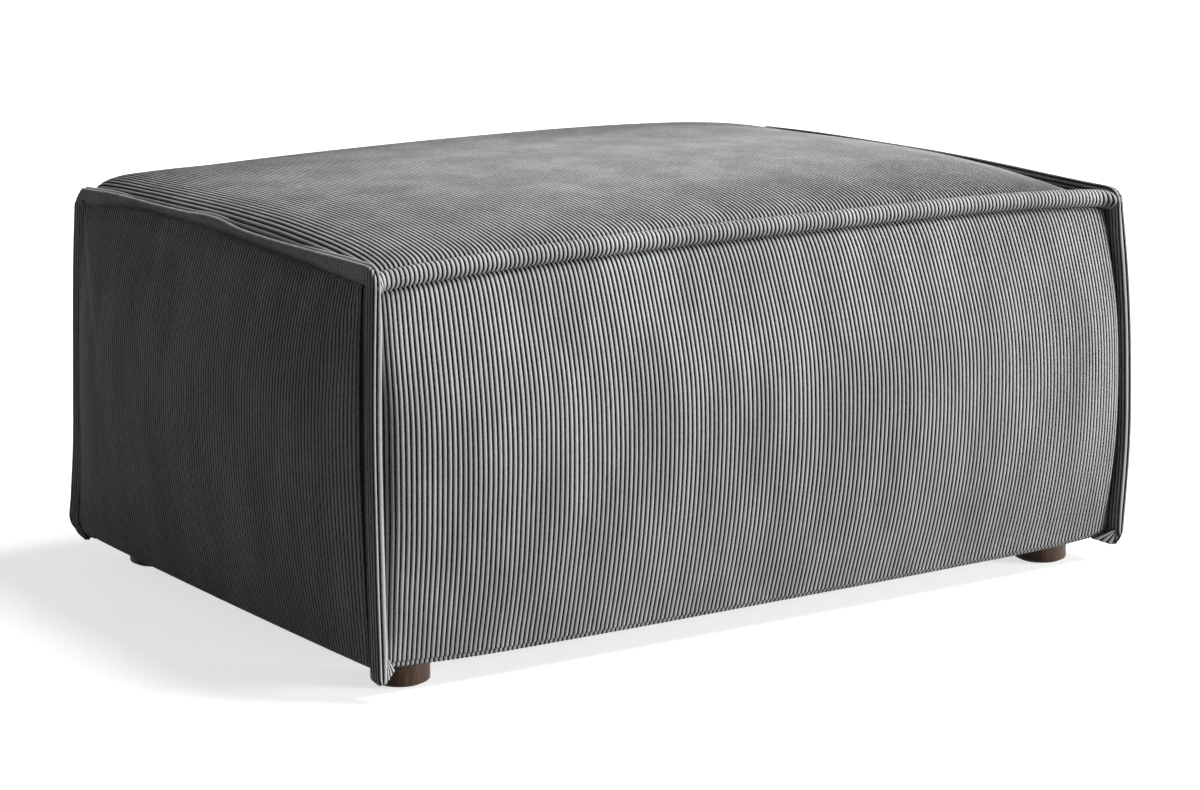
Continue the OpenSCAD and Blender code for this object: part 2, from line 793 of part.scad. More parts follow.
module foot_studs() {
  color([0.78, 0.78, 0.80])
    at_feet(foot_top - stud_in_foot)
      cylinder(d = stud_d, h = stud_in_foot + rail_top - foot_top + stud_over);
}

module tee_nuts() {
  color([0.78, 0.78, 0.80])
    at_feet(rail_top)
      difference() {
        union() {
          cylinder(d = nut_flange_d, h = nut_flange_t);
          translate([0, 0, -nut_barrel_h])
            cylinder(d = nut_barrel_d, h = nut_barrel_h + nut_flange_t / 2);
        }
        translate([0, 0, -nut_barrel_h - cut_over])
          cylinder(d = stud_d + bore_gap, h = nut_barrel_h + nut_flange_t + 2 * cut_over);
      }
}

module foot_glides() {
  color([0.10, 0.10, 0.11])
    at_feet(0) {
      cylinder(d = glide_d, h = glide_t);
      cylinder(d = glide_pin_d, h = glide_t + glide_pin);
    }
}

top_cover_panel();
side_cover_panel("front");  // front_cover_panel
side_cover_panel("back");  // back_cover_panel
side_cover_panel("left");  // left_cover_panel
side_cover_panel("right");  // right_cover_panel
top_flange("front");  // front_top_flange
top_flange("back");  // back_top_flange
left_side_flange();
right_side_flange();
dust_cover();
dust_cover_staples();
long_bottom_rail("front");  // front_bottom_rail
long_bottom_rail("back");  // back_bottom_rail
side_bottom_rail("left");  // left_bottom_rail
side_bottom_rail("right");  // right_bottom_rail
corner_post([-1, -1]);  // front_left_post
corner_post([1, -1]);  // front_right_post
corner_post([-1, 1]);  // back_left_post
corner_post([1, 1]);  // back_right_post
top_rail("front");  // front_top_rail
top_rail("back");  // back_top_rail
top_rail("left");  // left_top_rail
top_rail("right");  // right_top_rail
middle_post("front");  // front_middle_post
middle_post("back");  // back_middle_post
centre_stretcher();
skin("front");  // front_skin
skin("back");  // back_skin
skin("left");  // left_skin
skin("right");  // right_skin
frame_screws();
rail_dowels();
zigzag_spring(0);  // zigzag_spring_1
zigzag_spring(1);  // zigzag_spring_2
zigzag_spring(2);  // zigzag_spring_3
zigzag_spring(3);  // zigzag_spring_4
zigzag_spring(4);  // zigzag_spring_5
zigzag_spring(5);  // zigzag_spring_6
zigzag_spring(6);  // zigzag_spring_7
spring_clips();
clip_nails();
spring_tie_wires();
insulator_felt();
seat_foam();
seat_wadding();
side_foam("front");  // front_foam
side_foam("back");  // back_foam
side_foam("left");  // left_foam
side_foam("right");  // right_foam
side_wadding("front");  // front_wadding
side_wadding("back");  // back_wadding
side_wadding("left");  // left_wadding
side_wadding("right");  // right_wadding
foot([-1, -1]);  // front_left_foot
foot([1, -1]);  // front_right_foot
foot([-1, 1]);  // back_left_foot
foot([1, 1]);  // back_right_foot
foot_studs();
tee_nuts();
foot_glides();
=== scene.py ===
import json
import math
import bpy
import numpy as np
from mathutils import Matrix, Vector


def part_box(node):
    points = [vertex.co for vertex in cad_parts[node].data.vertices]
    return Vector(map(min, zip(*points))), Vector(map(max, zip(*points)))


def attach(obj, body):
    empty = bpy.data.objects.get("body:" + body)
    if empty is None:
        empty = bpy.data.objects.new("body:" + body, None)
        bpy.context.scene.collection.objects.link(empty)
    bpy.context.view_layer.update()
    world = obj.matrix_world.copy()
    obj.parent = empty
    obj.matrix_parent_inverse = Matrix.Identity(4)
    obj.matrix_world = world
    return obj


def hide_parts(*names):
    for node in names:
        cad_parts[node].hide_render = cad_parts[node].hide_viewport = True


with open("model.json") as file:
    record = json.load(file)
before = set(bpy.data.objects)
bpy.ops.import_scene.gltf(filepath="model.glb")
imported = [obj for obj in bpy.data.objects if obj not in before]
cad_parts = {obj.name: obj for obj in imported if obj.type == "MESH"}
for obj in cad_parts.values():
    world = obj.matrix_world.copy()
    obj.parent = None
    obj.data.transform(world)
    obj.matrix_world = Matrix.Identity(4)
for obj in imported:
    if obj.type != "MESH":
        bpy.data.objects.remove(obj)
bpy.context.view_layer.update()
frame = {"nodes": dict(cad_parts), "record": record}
scene = bpy.context.scene
print("frame loaded:", len(frame["nodes"]), "nodes")


# camera: where the photograph was taken from

cameraValues = {
    "place": (-1.8247, -2.7, 0.8613),
    "down": 11.57,  # degrees below the horizon
    "turn": 34.07,  # degrees from +Y towards +X
    "lens": 87.27,
    "sensor": 36,
    "farEnd": 60,
}
bpy.ops.object.camera_add(
    location=cameraValues["place"],
    rotation=(math.radians(90 - cameraValues["down"]), 0, math.radians(-cameraValues["turn"])))
camera = bpy.context.active_object
camera.data.lens = cameraValues["lens"]
camera.data.sensor_width = cameraValues["sensor"]
camera.data.clip_end = cameraValues["farEnd"]
scene.camera = camera
scene.view_settings.view_transform = "Standard"


# small tools

def throughPoints(points):
    # smooth curve through points (x, y), flat beyond its ends
    xs, ys = (np.array([p[i] for p in points], float) for i in (0, 1))
    slopes = np.gradient(ys, xs)

    def at(x):
        x = np.clip(x, xs[0], xs[-1])
        i = np.clip(np.searchsorted(xs, x) - 1, 0, len(xs) - 2)
        h = xs[i + 1] - xs[i]
        t = (x - xs[i]) / h
        return ((2 * t**3 - 3 * t**2 + 1) * ys[i] + (t**3 - 2 * t**2 + t) * h * slopes[i]
                + (3 * t**2 - 2 * t**3) * ys[i + 1] + (t**3 - t**2) * h * slopes[i + 1])
    return at


def curves(lists):
    return {key: throughPoints(points) for key, points in lists.items()}


def mix(a, b, share):
    return a + (b - a) * share


def unit(x):
    # x held between 0 and 1
    return np.clip(x, 0, 1)


def falling(s, power, bend):
    # 1 in the middle, 0 at both edges
    return np.maximum(0, 1 - np.abs(s) ** power) ** bend


def smoothNoise(a, b, seed, waves=7, low=0.5, high=2.5):
    # soft seeded unevenness over two coordinates, about -1 to 1
    rng = np.random.default_rng(seed)
    total = np.zeros(np.broadcast(a, b).shape)
    for k in range(waves):
        fa, fb = rng.uniform(low, high, 2) * rng.choice([-1, 1], 2)
        total = total + np.sin(fa * a + fb * b + rng.uniform(0, 2 * math.pi))
    return total / math.sqrt(waves)


def runAlong(points):
    # distance run from the first row of points to each other row
    step = np.linalg.norm(np.diff(points, axis=0), axis=-1)
    return np.concatenate([np.zeros((1, *step.shape[1:])), np.cumsum(step, axis=0)])


def gridNormals(points, towards):
    # unit normals of a grid, on the side of towards: one vector, or one for each point
    n = np.cross(np.gradient(points, axis=1), np.gradient(points, axis=0))
    n /= np.linalg.norm(n, axis=2, keepdims=True) + 1e-12
    sign = np.sign((n * np.asarray(towards, float)).sum(axis=2).mean())
    return n * sign


def deselectAll():
    if bpy.context.object and bpy.context.object.mode != "OBJECT":
        bpy.ops.object.mode_set(mode="OBJECT")
    bpy.ops.object.select_all(action="DESELECT")


def makeActive(piece):
    deselectAll()
    piece.select_set(True)
    bpy.context.view_layer.objects.active = piece


def clothGrid(name, points):
    # a grid primitive whose points are laid out as given, in millimetres
    rows, cols = points.shape[:2]
    deselectAll()
    bpy.ops.mesh.primitive_grid_add(x_subdivisions=cols - 1, y_subdivisions=rows - 1, size=1)
    piece = bpy.context.active_object
    piece.name = piece.data.name = name
    assert len(piece.data.vertices) == rows * cols
    piece.data.vertices.foreach_set("co", (points.reshape(-1) * 0.001).astype(np.float32))
    piece.data.update()
    return piece


def putWaleMap(piece, across, along):
    # UV map that follows the cloth: x is 0 in a groove and 1 on a crest, scaled down or up where shade or
    # light is painted, y counts pitches along the wale
    for layer in list(piece.data.uv_layers):
        piece.data.uv_layers.remove(layer)
    layer = piece.data.uv_layers.new(name="wales")
    corner = np.zeros(len(piece.data.loops), np.int32)
    piece.data.loops.foreach_get("vertex_index", corner)
    pairs = np.stack([part.reshape(-1) for part in np.broadcast_arrays(across, along)], axis=1)
    layer.data.foreach_set("uv", pairs[corner].astype(np.float32).reshape(-1))


def selectOpenEdges():
    bpy.ops.mesh.select_mode(type="EDGE")
    bpy.ops.mesh.select_all(action="DESELECT")
    bpy.ops.mesh.select_non_manifold(extend=False, use_wire=False, use_boundary=True,
                                     use_multi_face=False, use_non_contiguous=False, use_verts=False)


def turnOutwards():
    # faces of the closed piece point outwards, and editing ends
    bpy.ops.mesh.select_all(action="SELECT")
    bpy.ops.mesh.normals_make_consistent(inside=False)
    bpy.ops.object.mode_set(mode="OBJECT")


def closeBehind(piece, axis, place):
    # draws the open edge back to a flat plane behind the cushion, and closes it there
    makeActive(piece)
    bpy.ops.object.mode_set(mode="EDIT")
    selectOpenEdges()
    bpy.ops.mesh.extrude_edges_move()
    flat, centre = [1, 1, 1], [0, 0, 0]
    flat[axis], centre[axis] = 0, place * 0.001
    bpy.ops.transform.resize(value=flat, center_override=centre)
    bpy.ops.mesh.edge_face_add()
    turnOutwards()


def smoothShade(piece, angle=75):
    makeActive(piece)
    bpy.ops.object.shade_smooth_by_angle(angle=math.radians(angle))
    deselectAll()


# the pouf's lines, in millimetres: X along it, the front towards -Y

body = {
    "seamX": 481.25,  # middle of the side flanges
    "seamY": 319,  # groove of the front and back
    "seamZ": 411,  # height at which the top seams take the upright edges' lean
    "underside": 31,  # upper face of the dust cover
    "frameLow": 33.9,
    "halfLong": 479,  # half length of what lies between the side flanges
    "halfShort": 318,
}

# how far each upright edge stands out at a height
edgeLean = curves({
    (-1, -1): [(20, 1), (50, 1.5), (110, 4), (200, 6), (300, 5), (380, 2), (411, 0)],
    (1, -1): [(20, 8), (48, 9), (72, 10), (145, 12), (215, 11), (300, 8), (380, 2), (411, -1)],
    (-1, 1): [(20, 6), (32, 12), (46, 16), (65, 15), (135, 11), (205, 9), (300, 6.5), (345, 5),
              (411, 2)],
    (1, 1): [(20, 8), (60, 9), (140, 9), (220, 8), (300, 6), (380, 4), (411, 3)],
})
# heights of the four top seams along them
topSeam = curves({
    "front": [(-477, 402), (-457, 404), (-410, 407.5), (-365, 410), (-263, 414), (-100, 417),
              (100, 418.5), (316, 418.5), (400, 416), (466, 412), (477, 411)],
    "back": [(-477, 410), (-300, 415), (0, 418), (300, 419), (477, 414)],
    "left": [(-327, 414), (-191, 420), (-60, 426), (0, 430), (100, 430), (198, 429), (327, 419)],
    "right": [(-327, 412), (-129, 423), (55, 427), (200, 427), (327, 420)],
})
hemLine = curves({
    "front": [(-477, 30), (-440, 28), (-380, 25.5), (-250, 24), (0, 23.5), (250, 24),
              (420, 26), (477, 29)],
    "back": [(-477, 29), (-400, 26), (0, 23.5), (400, 26), (477, 29)],
    "left": [(-315, 30), (0, 29), (315, 30)],
    "right": [(-315, 30), (0, 28.5), (315, 30)],
})


def leanAlong(side, share, z=body["seamZ"]):
    # outward lean at a share of the way along a side, from its -X or -Y end
    ends = {"front": [(-1, -1), (1, -1)], "back": [(-1, 1), (1, 1)],
            "left": [(-1, -1), (-1, 1)], "right": [(1, -1), (1, 1)]}[side]
    return mix(edgeLean[ends[0]](z), edgeLean[ends[1]](z), share)


# corduroy: the wale's section, shared by every panel and flange

wale = {
    "pitch": 5.1,
    "count": {"long": 187, "short": 124},  # on the front, back and top, and on the left and right
    "steps": [0, 0.1, 0.2, 0.35, 0.5, 0.65, 0.8, 0.9],  # points over one wale
    "crest": 0.55,  # over the cloth's mean face
    "groove": -1.25,
    "round": 0.62,
    "wander": (0.3, 30),  # sideways drift of a wale, and over what length
    "uneven": (0.1, 1.7, 25),  # change of its height: amount, from wale to wale, and over what length
    "samples": 1500,  # points along a cloth's profile when the wales are spaced on it
}


def waleLines(profile, count):
    # shares of a cloth's width and running wale count, the wales evenly spaced along a profile of it
    shares = np.linspace(0, 1, len(profile))
    length = runAlong(profile)
    phase = np.array([k + s for k in range(count) for s in wale["steps"]] + [count], float)
    return np.interp(phase / count * length[-1], length, shares), phase


def waleRidge(phase):
    return np.abs(np.sin(math.pi * phase))


def waleHeight(phase):
    return wale["groove"] + (wale["crest"] - wale["groove"]) * waleRidge(phase) ** wale["round"]


def unevenWales(phase, along, seed):
    amount, step, length = wale["uneven"]
    noise = smoothNoise(np.floor(phase)[None, :] * step, along / length, seed)
    return waleHeight(phase)[None, :] * (1 + amount * noise)


def waleDrift(across, along, seed):
    amount, length = wale["wander"]
    return amount * smoothNoise(across, along / length, seed, low=0.4, high=1.6)


# cloth simulation of a panel under pressure, which pushes the way its faces turn: the front and
# right panels move inwards in it, the others mostly outwards

swelling = {
    "cap": 3.5,  # all moves of a panel are scaled down until none is longer
    "frames": 20,
    "cols": 72,  # points of the coarse copy, along the panel and across it
    "rows": 30,
    "cloth": {"quality": 6, "mass": 0.3, "tension_stiffness": 20, "compression_stiffness": 20,
              "shear_stiffness": 8, "bending_stiffness": 1.5, "vertex_group_mass": "seams",
              "use_pressure": True, "uniform_pressure_force": 4},
}


def swellByCloth(name, shape):
    # simulates a coarse copy of the panel and gives its points' moves, scaled down
    us = np.linspace(0, 1, swelling["cols"])
    ts = np.linspace(0, 1, swelling["rows"])
    start = shape(us[None, :], ts[:, None])
    piece = clothGrid(name + "Swelling", start)
    pinned = piece.vertex_groups.new(name="seams")
    rows, cols = start.shape[:2]
    index = np.arange(rows * cols).reshape(rows, cols)
    rim = np.concatenate([index[[0, -1]].reshape(-1), index[:, [0, -1]].reshape(-1)])
    pinned.add(rim.tolist(), 1, "REPLACE")
    makeActive(piece)
    bpy.ops.object.modifier_add(type="CLOTH")
    cloth = piece.modifiers[-1].settings
    for key, value in swelling["cloth"].items():
        setattr(cloth, key, value)
    cloth.effector_weights.gravity = 0
    piece.modifiers[-1].point_cache.frame_end = swelling["frames"]
    for f in range(1, swelling["frames"] + 1):
        scene.frame_set(f)
    solved = piece.evaluated_get(bpy.context.evaluated_depsgraph_get()).data
    place = np.zeros(rows * cols * 3)
    solved.vertices.foreach_get("co", place)
    moved = place.reshape(rows, cols, 3) * 1000 - start
    reach = float(np.linalg.norm(moved, axis=2).max())
    print("swelling of", name, "up to", round(reach, 1), "mm")
    moved *= min(1, swelling["cap"] / max(reach, 1e-9))
    bpy.data.objects.remove(piece)
    scene.frame_set(1)
    return moved


def spread(coarse, us, ts):
    # a coarse grid's values at the lines us and ts of a fine one, by smooth cubic steps
    def weights(lines, count):
        x = unit(np.asarray(lines, float)) * (count - 1)
        i = np.clip(np.floor(x).astype(int), 0, count - 2)
        t = x - i
        w = np.zeros((len(x), count))
        parts = [-0.5 * t + t**2 - 0.5 * t**3, 1 - 2.5 * t**2 + 1.5 * t**3,
                 0.5 * t + 2 * t**2 - 1.5 * t**3, -0.5 * t**2 + 0.5 * t**3]
        for k, part in enumerate(parts):
            np.add.at(w, (np.arange(len(x)), np.clip(i + k - 1, 0, count - 1)), part)
        return w
    return np.einsum("rj,jkc,sk->rsc", weights(ts, coarse.shape[0]), coarse, weights(us, coarse.shape[1]))


# the four side panels: long is the front and back, short the left and right

sidePanels = {
    "swell": {"long": 43, "short": 27},
    # share of the swell at a distance from the upright seams: a steep margin, then a slow crown
    "margin": curves({
        "long": [(0, 0), (4, 0.15), (8, 0.27), (15, 0.4), (25, 0.48), (40, 0.57),
                 (75, 0.71), (140, 0.86), (260, 0.97), (480, 1)],
        "short": [(0, 0), (2, 0.1), (4, 0.16), (8, 0.22), (15, 0.3), (30, 0.43), (60, 0.62),
                  (120, 0.83), (200, 0.95), (320, 1)],
    }),
    # share of the swell from the top seam down to the hem
    "rise": throughPoints([
        (0, 0), (0.016, 0.12), (0.038, 0.24), (0.075, 0.375), (0.129, 0.54), (0.21, 0.755), (0.33, 0.97),
        (0.466, 1.03), (0.6, 0.967), (0.736, 0.81), (0.87, 0.56), (1, 0.24)]),
    "fuller": (0.09, 0.33, 0.35),  # the front is fuller right of its middle: how much, where, how wide
    "uneven": 0.8,
    "faceTop": 0.4,  # the face starts this far under the top seam
    "faceEnd": 9,  # and ends this far over the hem's lowest line
    # groove under the top seam: its depth and width, and the shoulder below it
    "tuck": {"long": (3, 2.2, 1), "short": (7.5, 3.8, 3.6)},
    "tuckRound": 3,
    # groove beside the flanges: its depth, and its width at the -X or -Y end and at the other
    "dip": {"long": (9, 22, 12), "short": (8, 5, 5)},
    "dipPower": 1.5,
    "dipFade": (0.02, 0.08),  # share of the height over which it fades, at the top and at the hem
    "evenAt": 0.45,  # share of the height at which the wales are evenly spaced
    "driftWide": 12,
    "shortRelief": 0.8,  # the left and right are brushed flatter, and paler in their grooves
    "shortGroove": 0.2,
    "flangeShadowEnd": (22.4, 8),  # painted shadow of the flange: the grooves stay dark this far below the top seam, then turn paler over this length
    "paintedShade": {"front": 0.16, "back": 0.16, "left": -0.1, "right": 0},  # painted shade: darker towards +X on the front and back, towards -Y on the left
    "paintedLightDown": (0.95, 1.25),  # and painted light: the front and back lighter down towards the hem
    "seamShade": {"long": 2.5, "short": 7},  # reach of the painted shade under the top seam, where the crests take the grooves' dark colour
    "endShade": 6,  # and of the painted shade beside the upright seams
    "hemLies": -9,  # the hem's roll lies on the frame from this far behind the seam line
    "hiddenRelief": 0.3,  # of the wales there
    "backDeep": 14,  # depth of the panel's flat back behind the seam line
    "creaseUp": 5,  # height of the hem's crease over its lowest line
    "creaseDeep": 2,
    "creaseWide": 1.3,
    # seeds of the unevenness and of the wales' drift, and of the wales' heights on all four
    "seeds": {"front": (16, 10), "back": (15, 9), "left": (15, 9), "right": (16, 10)},
    "waleSeed": 9,
}
faceSteps = np.concatenate([
    [0, 0.003, 0.008, 0.015, 0.025, 0.038, 0.055], np.linspace(0.08, 0.9, 27), [0.925, 0.95, 0.975, 1]])
# the hem's roll after the face: share of the reach, place behind the seam line, height over the hem
hemRoll = [
    (0.97, 0, 7.4), (0.93, 0, 6), (0.88, 0, 4.9), (0.8, 0, 3.8), (0.68, 0, 2.6), (0.5, 0, 1.2),
    (0.28, -1, 0.2), (0.05, -4, 0.2), (0, -9, 1.6), (0, -14, 2), (0, -22, 2), (0, -33, 2),
]


def panelShape(side):
    # the panel as a function of shares: u along it, t from its top seam to its hem
    values = sidePanels
    kind = "long" if side in ("front", "back") else "short"
    half = body["halfLong" if kind == "long" else "halfShort"]
    seam = body["seamY" if kind == "long" else "seamX"]
    sign = -1 if side in ("front", "left") else 1

    def shape(u, t):
        v = 2 * u - 1
        top = topSeam[side](v * half) - values["faceTop"]
        low = hemLine[side](v * half) + values["faceEnd"]
        z = mix(top, low, t)
        s = mix(-half - leanAlong(side, 0, z), half + leanAlong(side, 1, z), u)
        fromEnd = (1 - np.abs(v)) * half
        belly = values["swell"][kind] * values["margin"][kind](fromEnd)
        if side == "front":
            much, where, wide = values["fuller"]
            belly = belly * (1 + much * np.exp(-((v - where) / wide) ** 2))
        dipDeep, *dipWide = values["dip"][kind]
        dip = dipDeep * unit(1 - fromEnd / np.where(v < 0, *dipWide)) ** values["dipPower"]
        fadeTop, fadeLow = values["dipFade"]
        dip = dip * unit(t / fadeTop) * unit((1 - t) / fadeLow)
        deep, wide, shoulder = values["tuck"][kind]
        below = (top - low) * t
        tuck = shoulder * (1 - np.exp(-below / values["tuckRound"])) * (1 - t)
        tuck = tuck - deep * np.exp(-(below / wide) ** 2)
        out = leanAlong(side, u, z) + belly * values["rise"](t) - dip + tuck
        uneven = smoothNoise(v * 4, t * 3, values["seeds"][side][0])
        out = out + values["uneven"] * uneven * falling(v, 8, 1) * np.sin(math.pi * t)
        s, out, z = np.broadcast_arrays(s, seam + out, z)
        return np.stack([s, sign * out, z] if kind == "long" else [sign * out, s, z], axis=2)
    return shape, kind, half, seam, sign


def makePanel(side):
    values = sidePanels
    shape, kind, half, seam, sign = panelShape(side)
    long = kind == "long"
    axis = 1 if long else 0
    moved = swellByCloth(side, shape)
    middle = shape(np.linspace(0, 1, wale["samples"])[None, :], np.array([[values["evenAt"]]]))[0]
    us, phase = waleLines(middle, wale["count"][kind])
    base = shape(us[None, :], faceSteps[:, None]) + spread(moved, us, faceSteps)

    # hem: rolls under the frame and lies back on it
    last = base[-1]
    reach = sign * last[:, axis] - seam
    low = hemLine[side]((2 * us - 1) * half)
    rows = [base]
    for share, behind, up in hemRoll:
        row = last.copy()
        row[:, axis] = sign * (seam + reach * share + behind)
        row[:, 2] = low + up if behind > values["hemLies"] else body["underside"]
        row[:, 1 - axis] = last[:, 1 - axis] * (half + min(0, behind)) / half
        rows.append(row[None])
    lifted = rows[-1].copy()
    lifted[:, :, 2] = body["frameLow"]
    behind = lifted.copy()
    behind[:, :, axis] = sign * (seam - values["backDeep"])
    base = np.concatenate([*rows, lifted, behind])

    # wales down the panel, with a crease at the front and back hems
    along = runAlong(base)
    height = unevenWales(phase, along, values["waleSeed"])
    fade = np.ones(len(base))
    fade[len(faceSteps) + len(hemRoll) - 3:] = values["hiddenRelief"]
    crease = np.zeros(len(base))
    ridge = waleRidge(phase)[None, :]
    if long:
        ups = np.array([up for share, behind, up in hemRoll])
        crease[len(faceSteps):-2] = -values["creaseDeep"] * np.exp(
            -((ups - values["creaseUp"]) / values["creaseWide"]) ** 2)
    else:
        # painted shadow under the flange: dark grooves down to the band's end, paler ones below
        start, over = values["flangeShadowEnd"]
        height = height * values["shortRelief"]
        ridge = mix(values["shortGroove"] * unit((along - start) / over), 1, ridge)
    points = base + gridNormals(base, (0, sign, 0) if long else (sign, 0, 0)) * (
        height * fade[:, None] + crease[:, None])[:, :, None]
    across = us[None, :] * half / values["driftWide"]
    points[:, :, 1 - axis] += waleDrift(across, along, values["seeds"][side][1])

    # painted shade and light: the crests take the grooves' dark colour under the top seam and beside the
    # upright seams, each side is darker towards one end, and the front and back are lighter towards the hem
    fromEnd = (1 - np.abs(2 * us - 1)) * half
    paintedShade = values["paintedShade"][side]
    ridge = ridge * unit(along / values["seamShade"][kind])
    ridge = ridge * unit(fromEnd / values["endShade"]) * (1 - max(0, -paintedShade) - paintedShade * us)
    if long:
        ridge = ridge * mix(*values["paintedLightDown"], along / along.max())
    piece = clothGrid(side + "Cover", points)
    putWaleMap(piece, ridge, along / wale["pitch"])
    closeBehind(piece, axis, sign * (seam - values["backDeep"]))
    smoothShade(piece)
    return piece


covers = {side: makePanel(side) for side in ("front", "back", "left", "right")}


# the top panel

topPanel = {
    # height of the crown along the pouf: full at the left shoulder, sat down towards the right
    "crown": throughPoints([
        (-477, 444), (-466, 449), (-450, 452.5), (-420, 455), (-348, 458), (-219, 463), (-84, 467),
        (57, 469), (150, 469.5), (250, 468), (330, 464.5), (380, 460), (420, 454), (445, 449.5),
        (462, 445), (477, 440)]),
    "dome": (22, 3.5),  # fall of the crown towards the front and the back
    "domePower": 2.4,
    "relief": (1, 0.6),  # of the wales along the edges, and where the middle is brushed flat
    "groove": (0.06, 0.45),  # how pale their grooves are
    "paintedShadeEdges": (0.2, 0.42),  # painted shade: darker towards the front and back edges, and to the right
    "paintedShadeRight": 0.2,
    "endLeft": (60, 0.5),  # shoulders: power and bend
    "endRight": (50, 0.5),
    "longSides": (20, 0.35),
    "halfY": 315,
    "uneven": 0.7,
    # lines of points: distances from the front and back seams, then the middle's ends and number
    "near": [0, 0.7, 1.6, 3, 5, 8, 12, 17, 24, 33, 45, 60],
    "middle": (0.125, 0.875, 34),
    "backZ": 398,  # height of its flat underside
    "driftTurns": 40,
    # where the middle begins to be brushed flat, and over what share: from the front and from the left
    "flatFrom": ((0.04, 0.2), (0.08, 0.25)),
    "paintedShadePower": 1.5,
    "seeds": (31, 15, 19),  # of the unevenness, of the wales' drift and of their heights
    # where it is sat down: depth, place and size
    "dishes": [(4, (470, -300), (90, 207))],
}


def topShape(u, v):
    # shares from the -X end and from the front, as points
    values = topPanel
    a, b = 2 * u - 1, 2 * v - 1
    halfX, halfY = body["halfLong"], values["halfY"]
    x = mix(-halfX - leanAlong("left", v), halfX + leanAlong("right", v), u)
    y = mix(-halfY - leanAlong("front", u), halfY + leanAlong("back", u), v)
    x0, y0 = a * halfX, b * halfY
    front, back, left, right = topSeam["front"], topSeam["back"], topSeam["left"], topSeam["right"]
    corners = mix(mix(front(-halfX), front(halfX), u), mix(back(-halfX), back(halfX), u), v)
    seam = mix(front(x0), back(x0), v) + mix(left(y0), right(y0), u) - corners
    crown = values["crown"](x0) - np.where(b < 0, *values["dome"]) * np.abs(b) ** values["domePower"]
    for deep, place, size in values["dishes"]:
        crown = crown - deep * np.exp(-((x0 - place[0]) / size[0]) ** 2 - ((y0 - place[1]) / size[1]) ** 2)
    ends = np.where(a < 0, falling(a, *values["endLeft"]), falling(a, *values["endRight"]))
    z = seam + (crown - seam) * ends * falling(b, *values["longSides"])
    uneven = smoothNoise(a * 4, b * 3, values["seeds"][0]) * falling(a, 6, 1) * falling(b, 6, 1)
    z = z + values["uneven"] * uneven
    x, y, z = np.broadcast_arrays(x, y, z)
    return np.stack([x, y, z], axis=2)


def makeTop():
    values = topPanel
    moved = swellByCloth("top", topShape)
    middle = topShape(np.linspace(0, 1, wale["samples"])[None, :], np.array([[0.5]]))[0]
    us, phase = waleLines(middle, wale["count"]["long"])
    near = np.array(values["near"]) / (2 * values["halfY"])
    vs = np.concatenate([near, np.linspace(*values["middle"]), 1 - near[::-1]])
    base = topShape(us[None, :], vs[:, None]) + spread(moved, us, vs)
    along = runAlong(base)
    driftSeed, waleSeed = values["seeds"][1:]
    (startY, overY), (startX, overX) = values["flatFrom"]
    flat = unit((vs[:, None] - startY) / overY) * unit((us[None, :] - startX) / overX)
    height = mix(*values["relief"], flat) * unevenWales(phase, along, waleSeed)
    points = base + gridNormals(base, (0, 0, 1)) * height[:, :, None]
    points[:, :, 0] += waleDrift(us[None, :] * values["driftTurns"], along, driftSeed)
    piece = clothGrid("topCover", points)
    # painted shade: darker towards the front and back edges and towards the right
    darker = np.where(vs < 0.5, *values["paintedShadeEdges"]) * np.abs(2 * vs - 1) ** values["paintedShadePower"]
    paintedShade = 1 - darker[:, None] - values["paintedShadeRight"] * unit(us * 2 - 1)[None, :]
    ridge = mix(mix(*values["groove"], flat), 1, waleRidge(phase)[None, :])
    putWaleMap(piece, paintedShade * ridge, along / wale["pitch"])
    closeBehind(piece, 2, values["backZ"])
    smoothShade(piece)
    return piece


covers["top"] = makeTop()
print("covers made")


# flanges

lipValues = {
    # section of the front and back lips: towards the seat, and up from the seam
    "outline": [(1, -1), (-3.5, 0.3), (-6.8, 3.2), (-8.2, 7.2), (-7.6, 11.4), (-5.8, 15), (-3, 17.6),
                (0.2, 18.6), (2.6, 17.8), (3.8, 15), (3.9, 10), (3.9, 4), (3.2, -1)],
    "steps": 30,
    "high": 18,
    "flare": (3, 11, -2),  # how far its ends come out to the side flanges: along, outwards, up
    "flareWide": 9,
    "relief": 0.85,
}


def smoothLoop(outline, count):
    # points spaced evenly along a smooth line through an open outline
    pts = np.array(outline, float)
    d = runAlong(pts)
    fx, fy = throughPoints(list(zip(d, pts[:, 0]))), throughPoints(list(zip(d, pts[:, 1])))
    s = np.linspace(0, d[-1], count)
    return np.stack([fx(s), fy(s)], axis=1), s


def closeTube(piece, ends, near=60):
    # joins the long edges of a grid bent round a section, and closes each end, near a given point
    makeActive(piece)
    bpy.ops.object.mode_set(mode="EDIT")
    bpy.ops.mesh.select_all(action="SELECT")
    bpy.ops.mesh.remove_doubles(threshold=0.00001)
    for end in ends:
        selectOpenEdges()
        bpy.ops.object.mode_set(mode="OBJECT")
        points = piece.data.vertices
        for edge in piece.data.edges:
            if edge.select:
                middle = (points[edge.vertices[0]].co + points[edge.vertices[1]].co) / 2
                edge.select = (middle * 1000 - Vector(end)).length < near
        bpy.ops.object.mode_set(mode="EDIT")
        bpy.ops.mesh.edge_face_add()
    turnOutwards()
    smoothShade(piece)


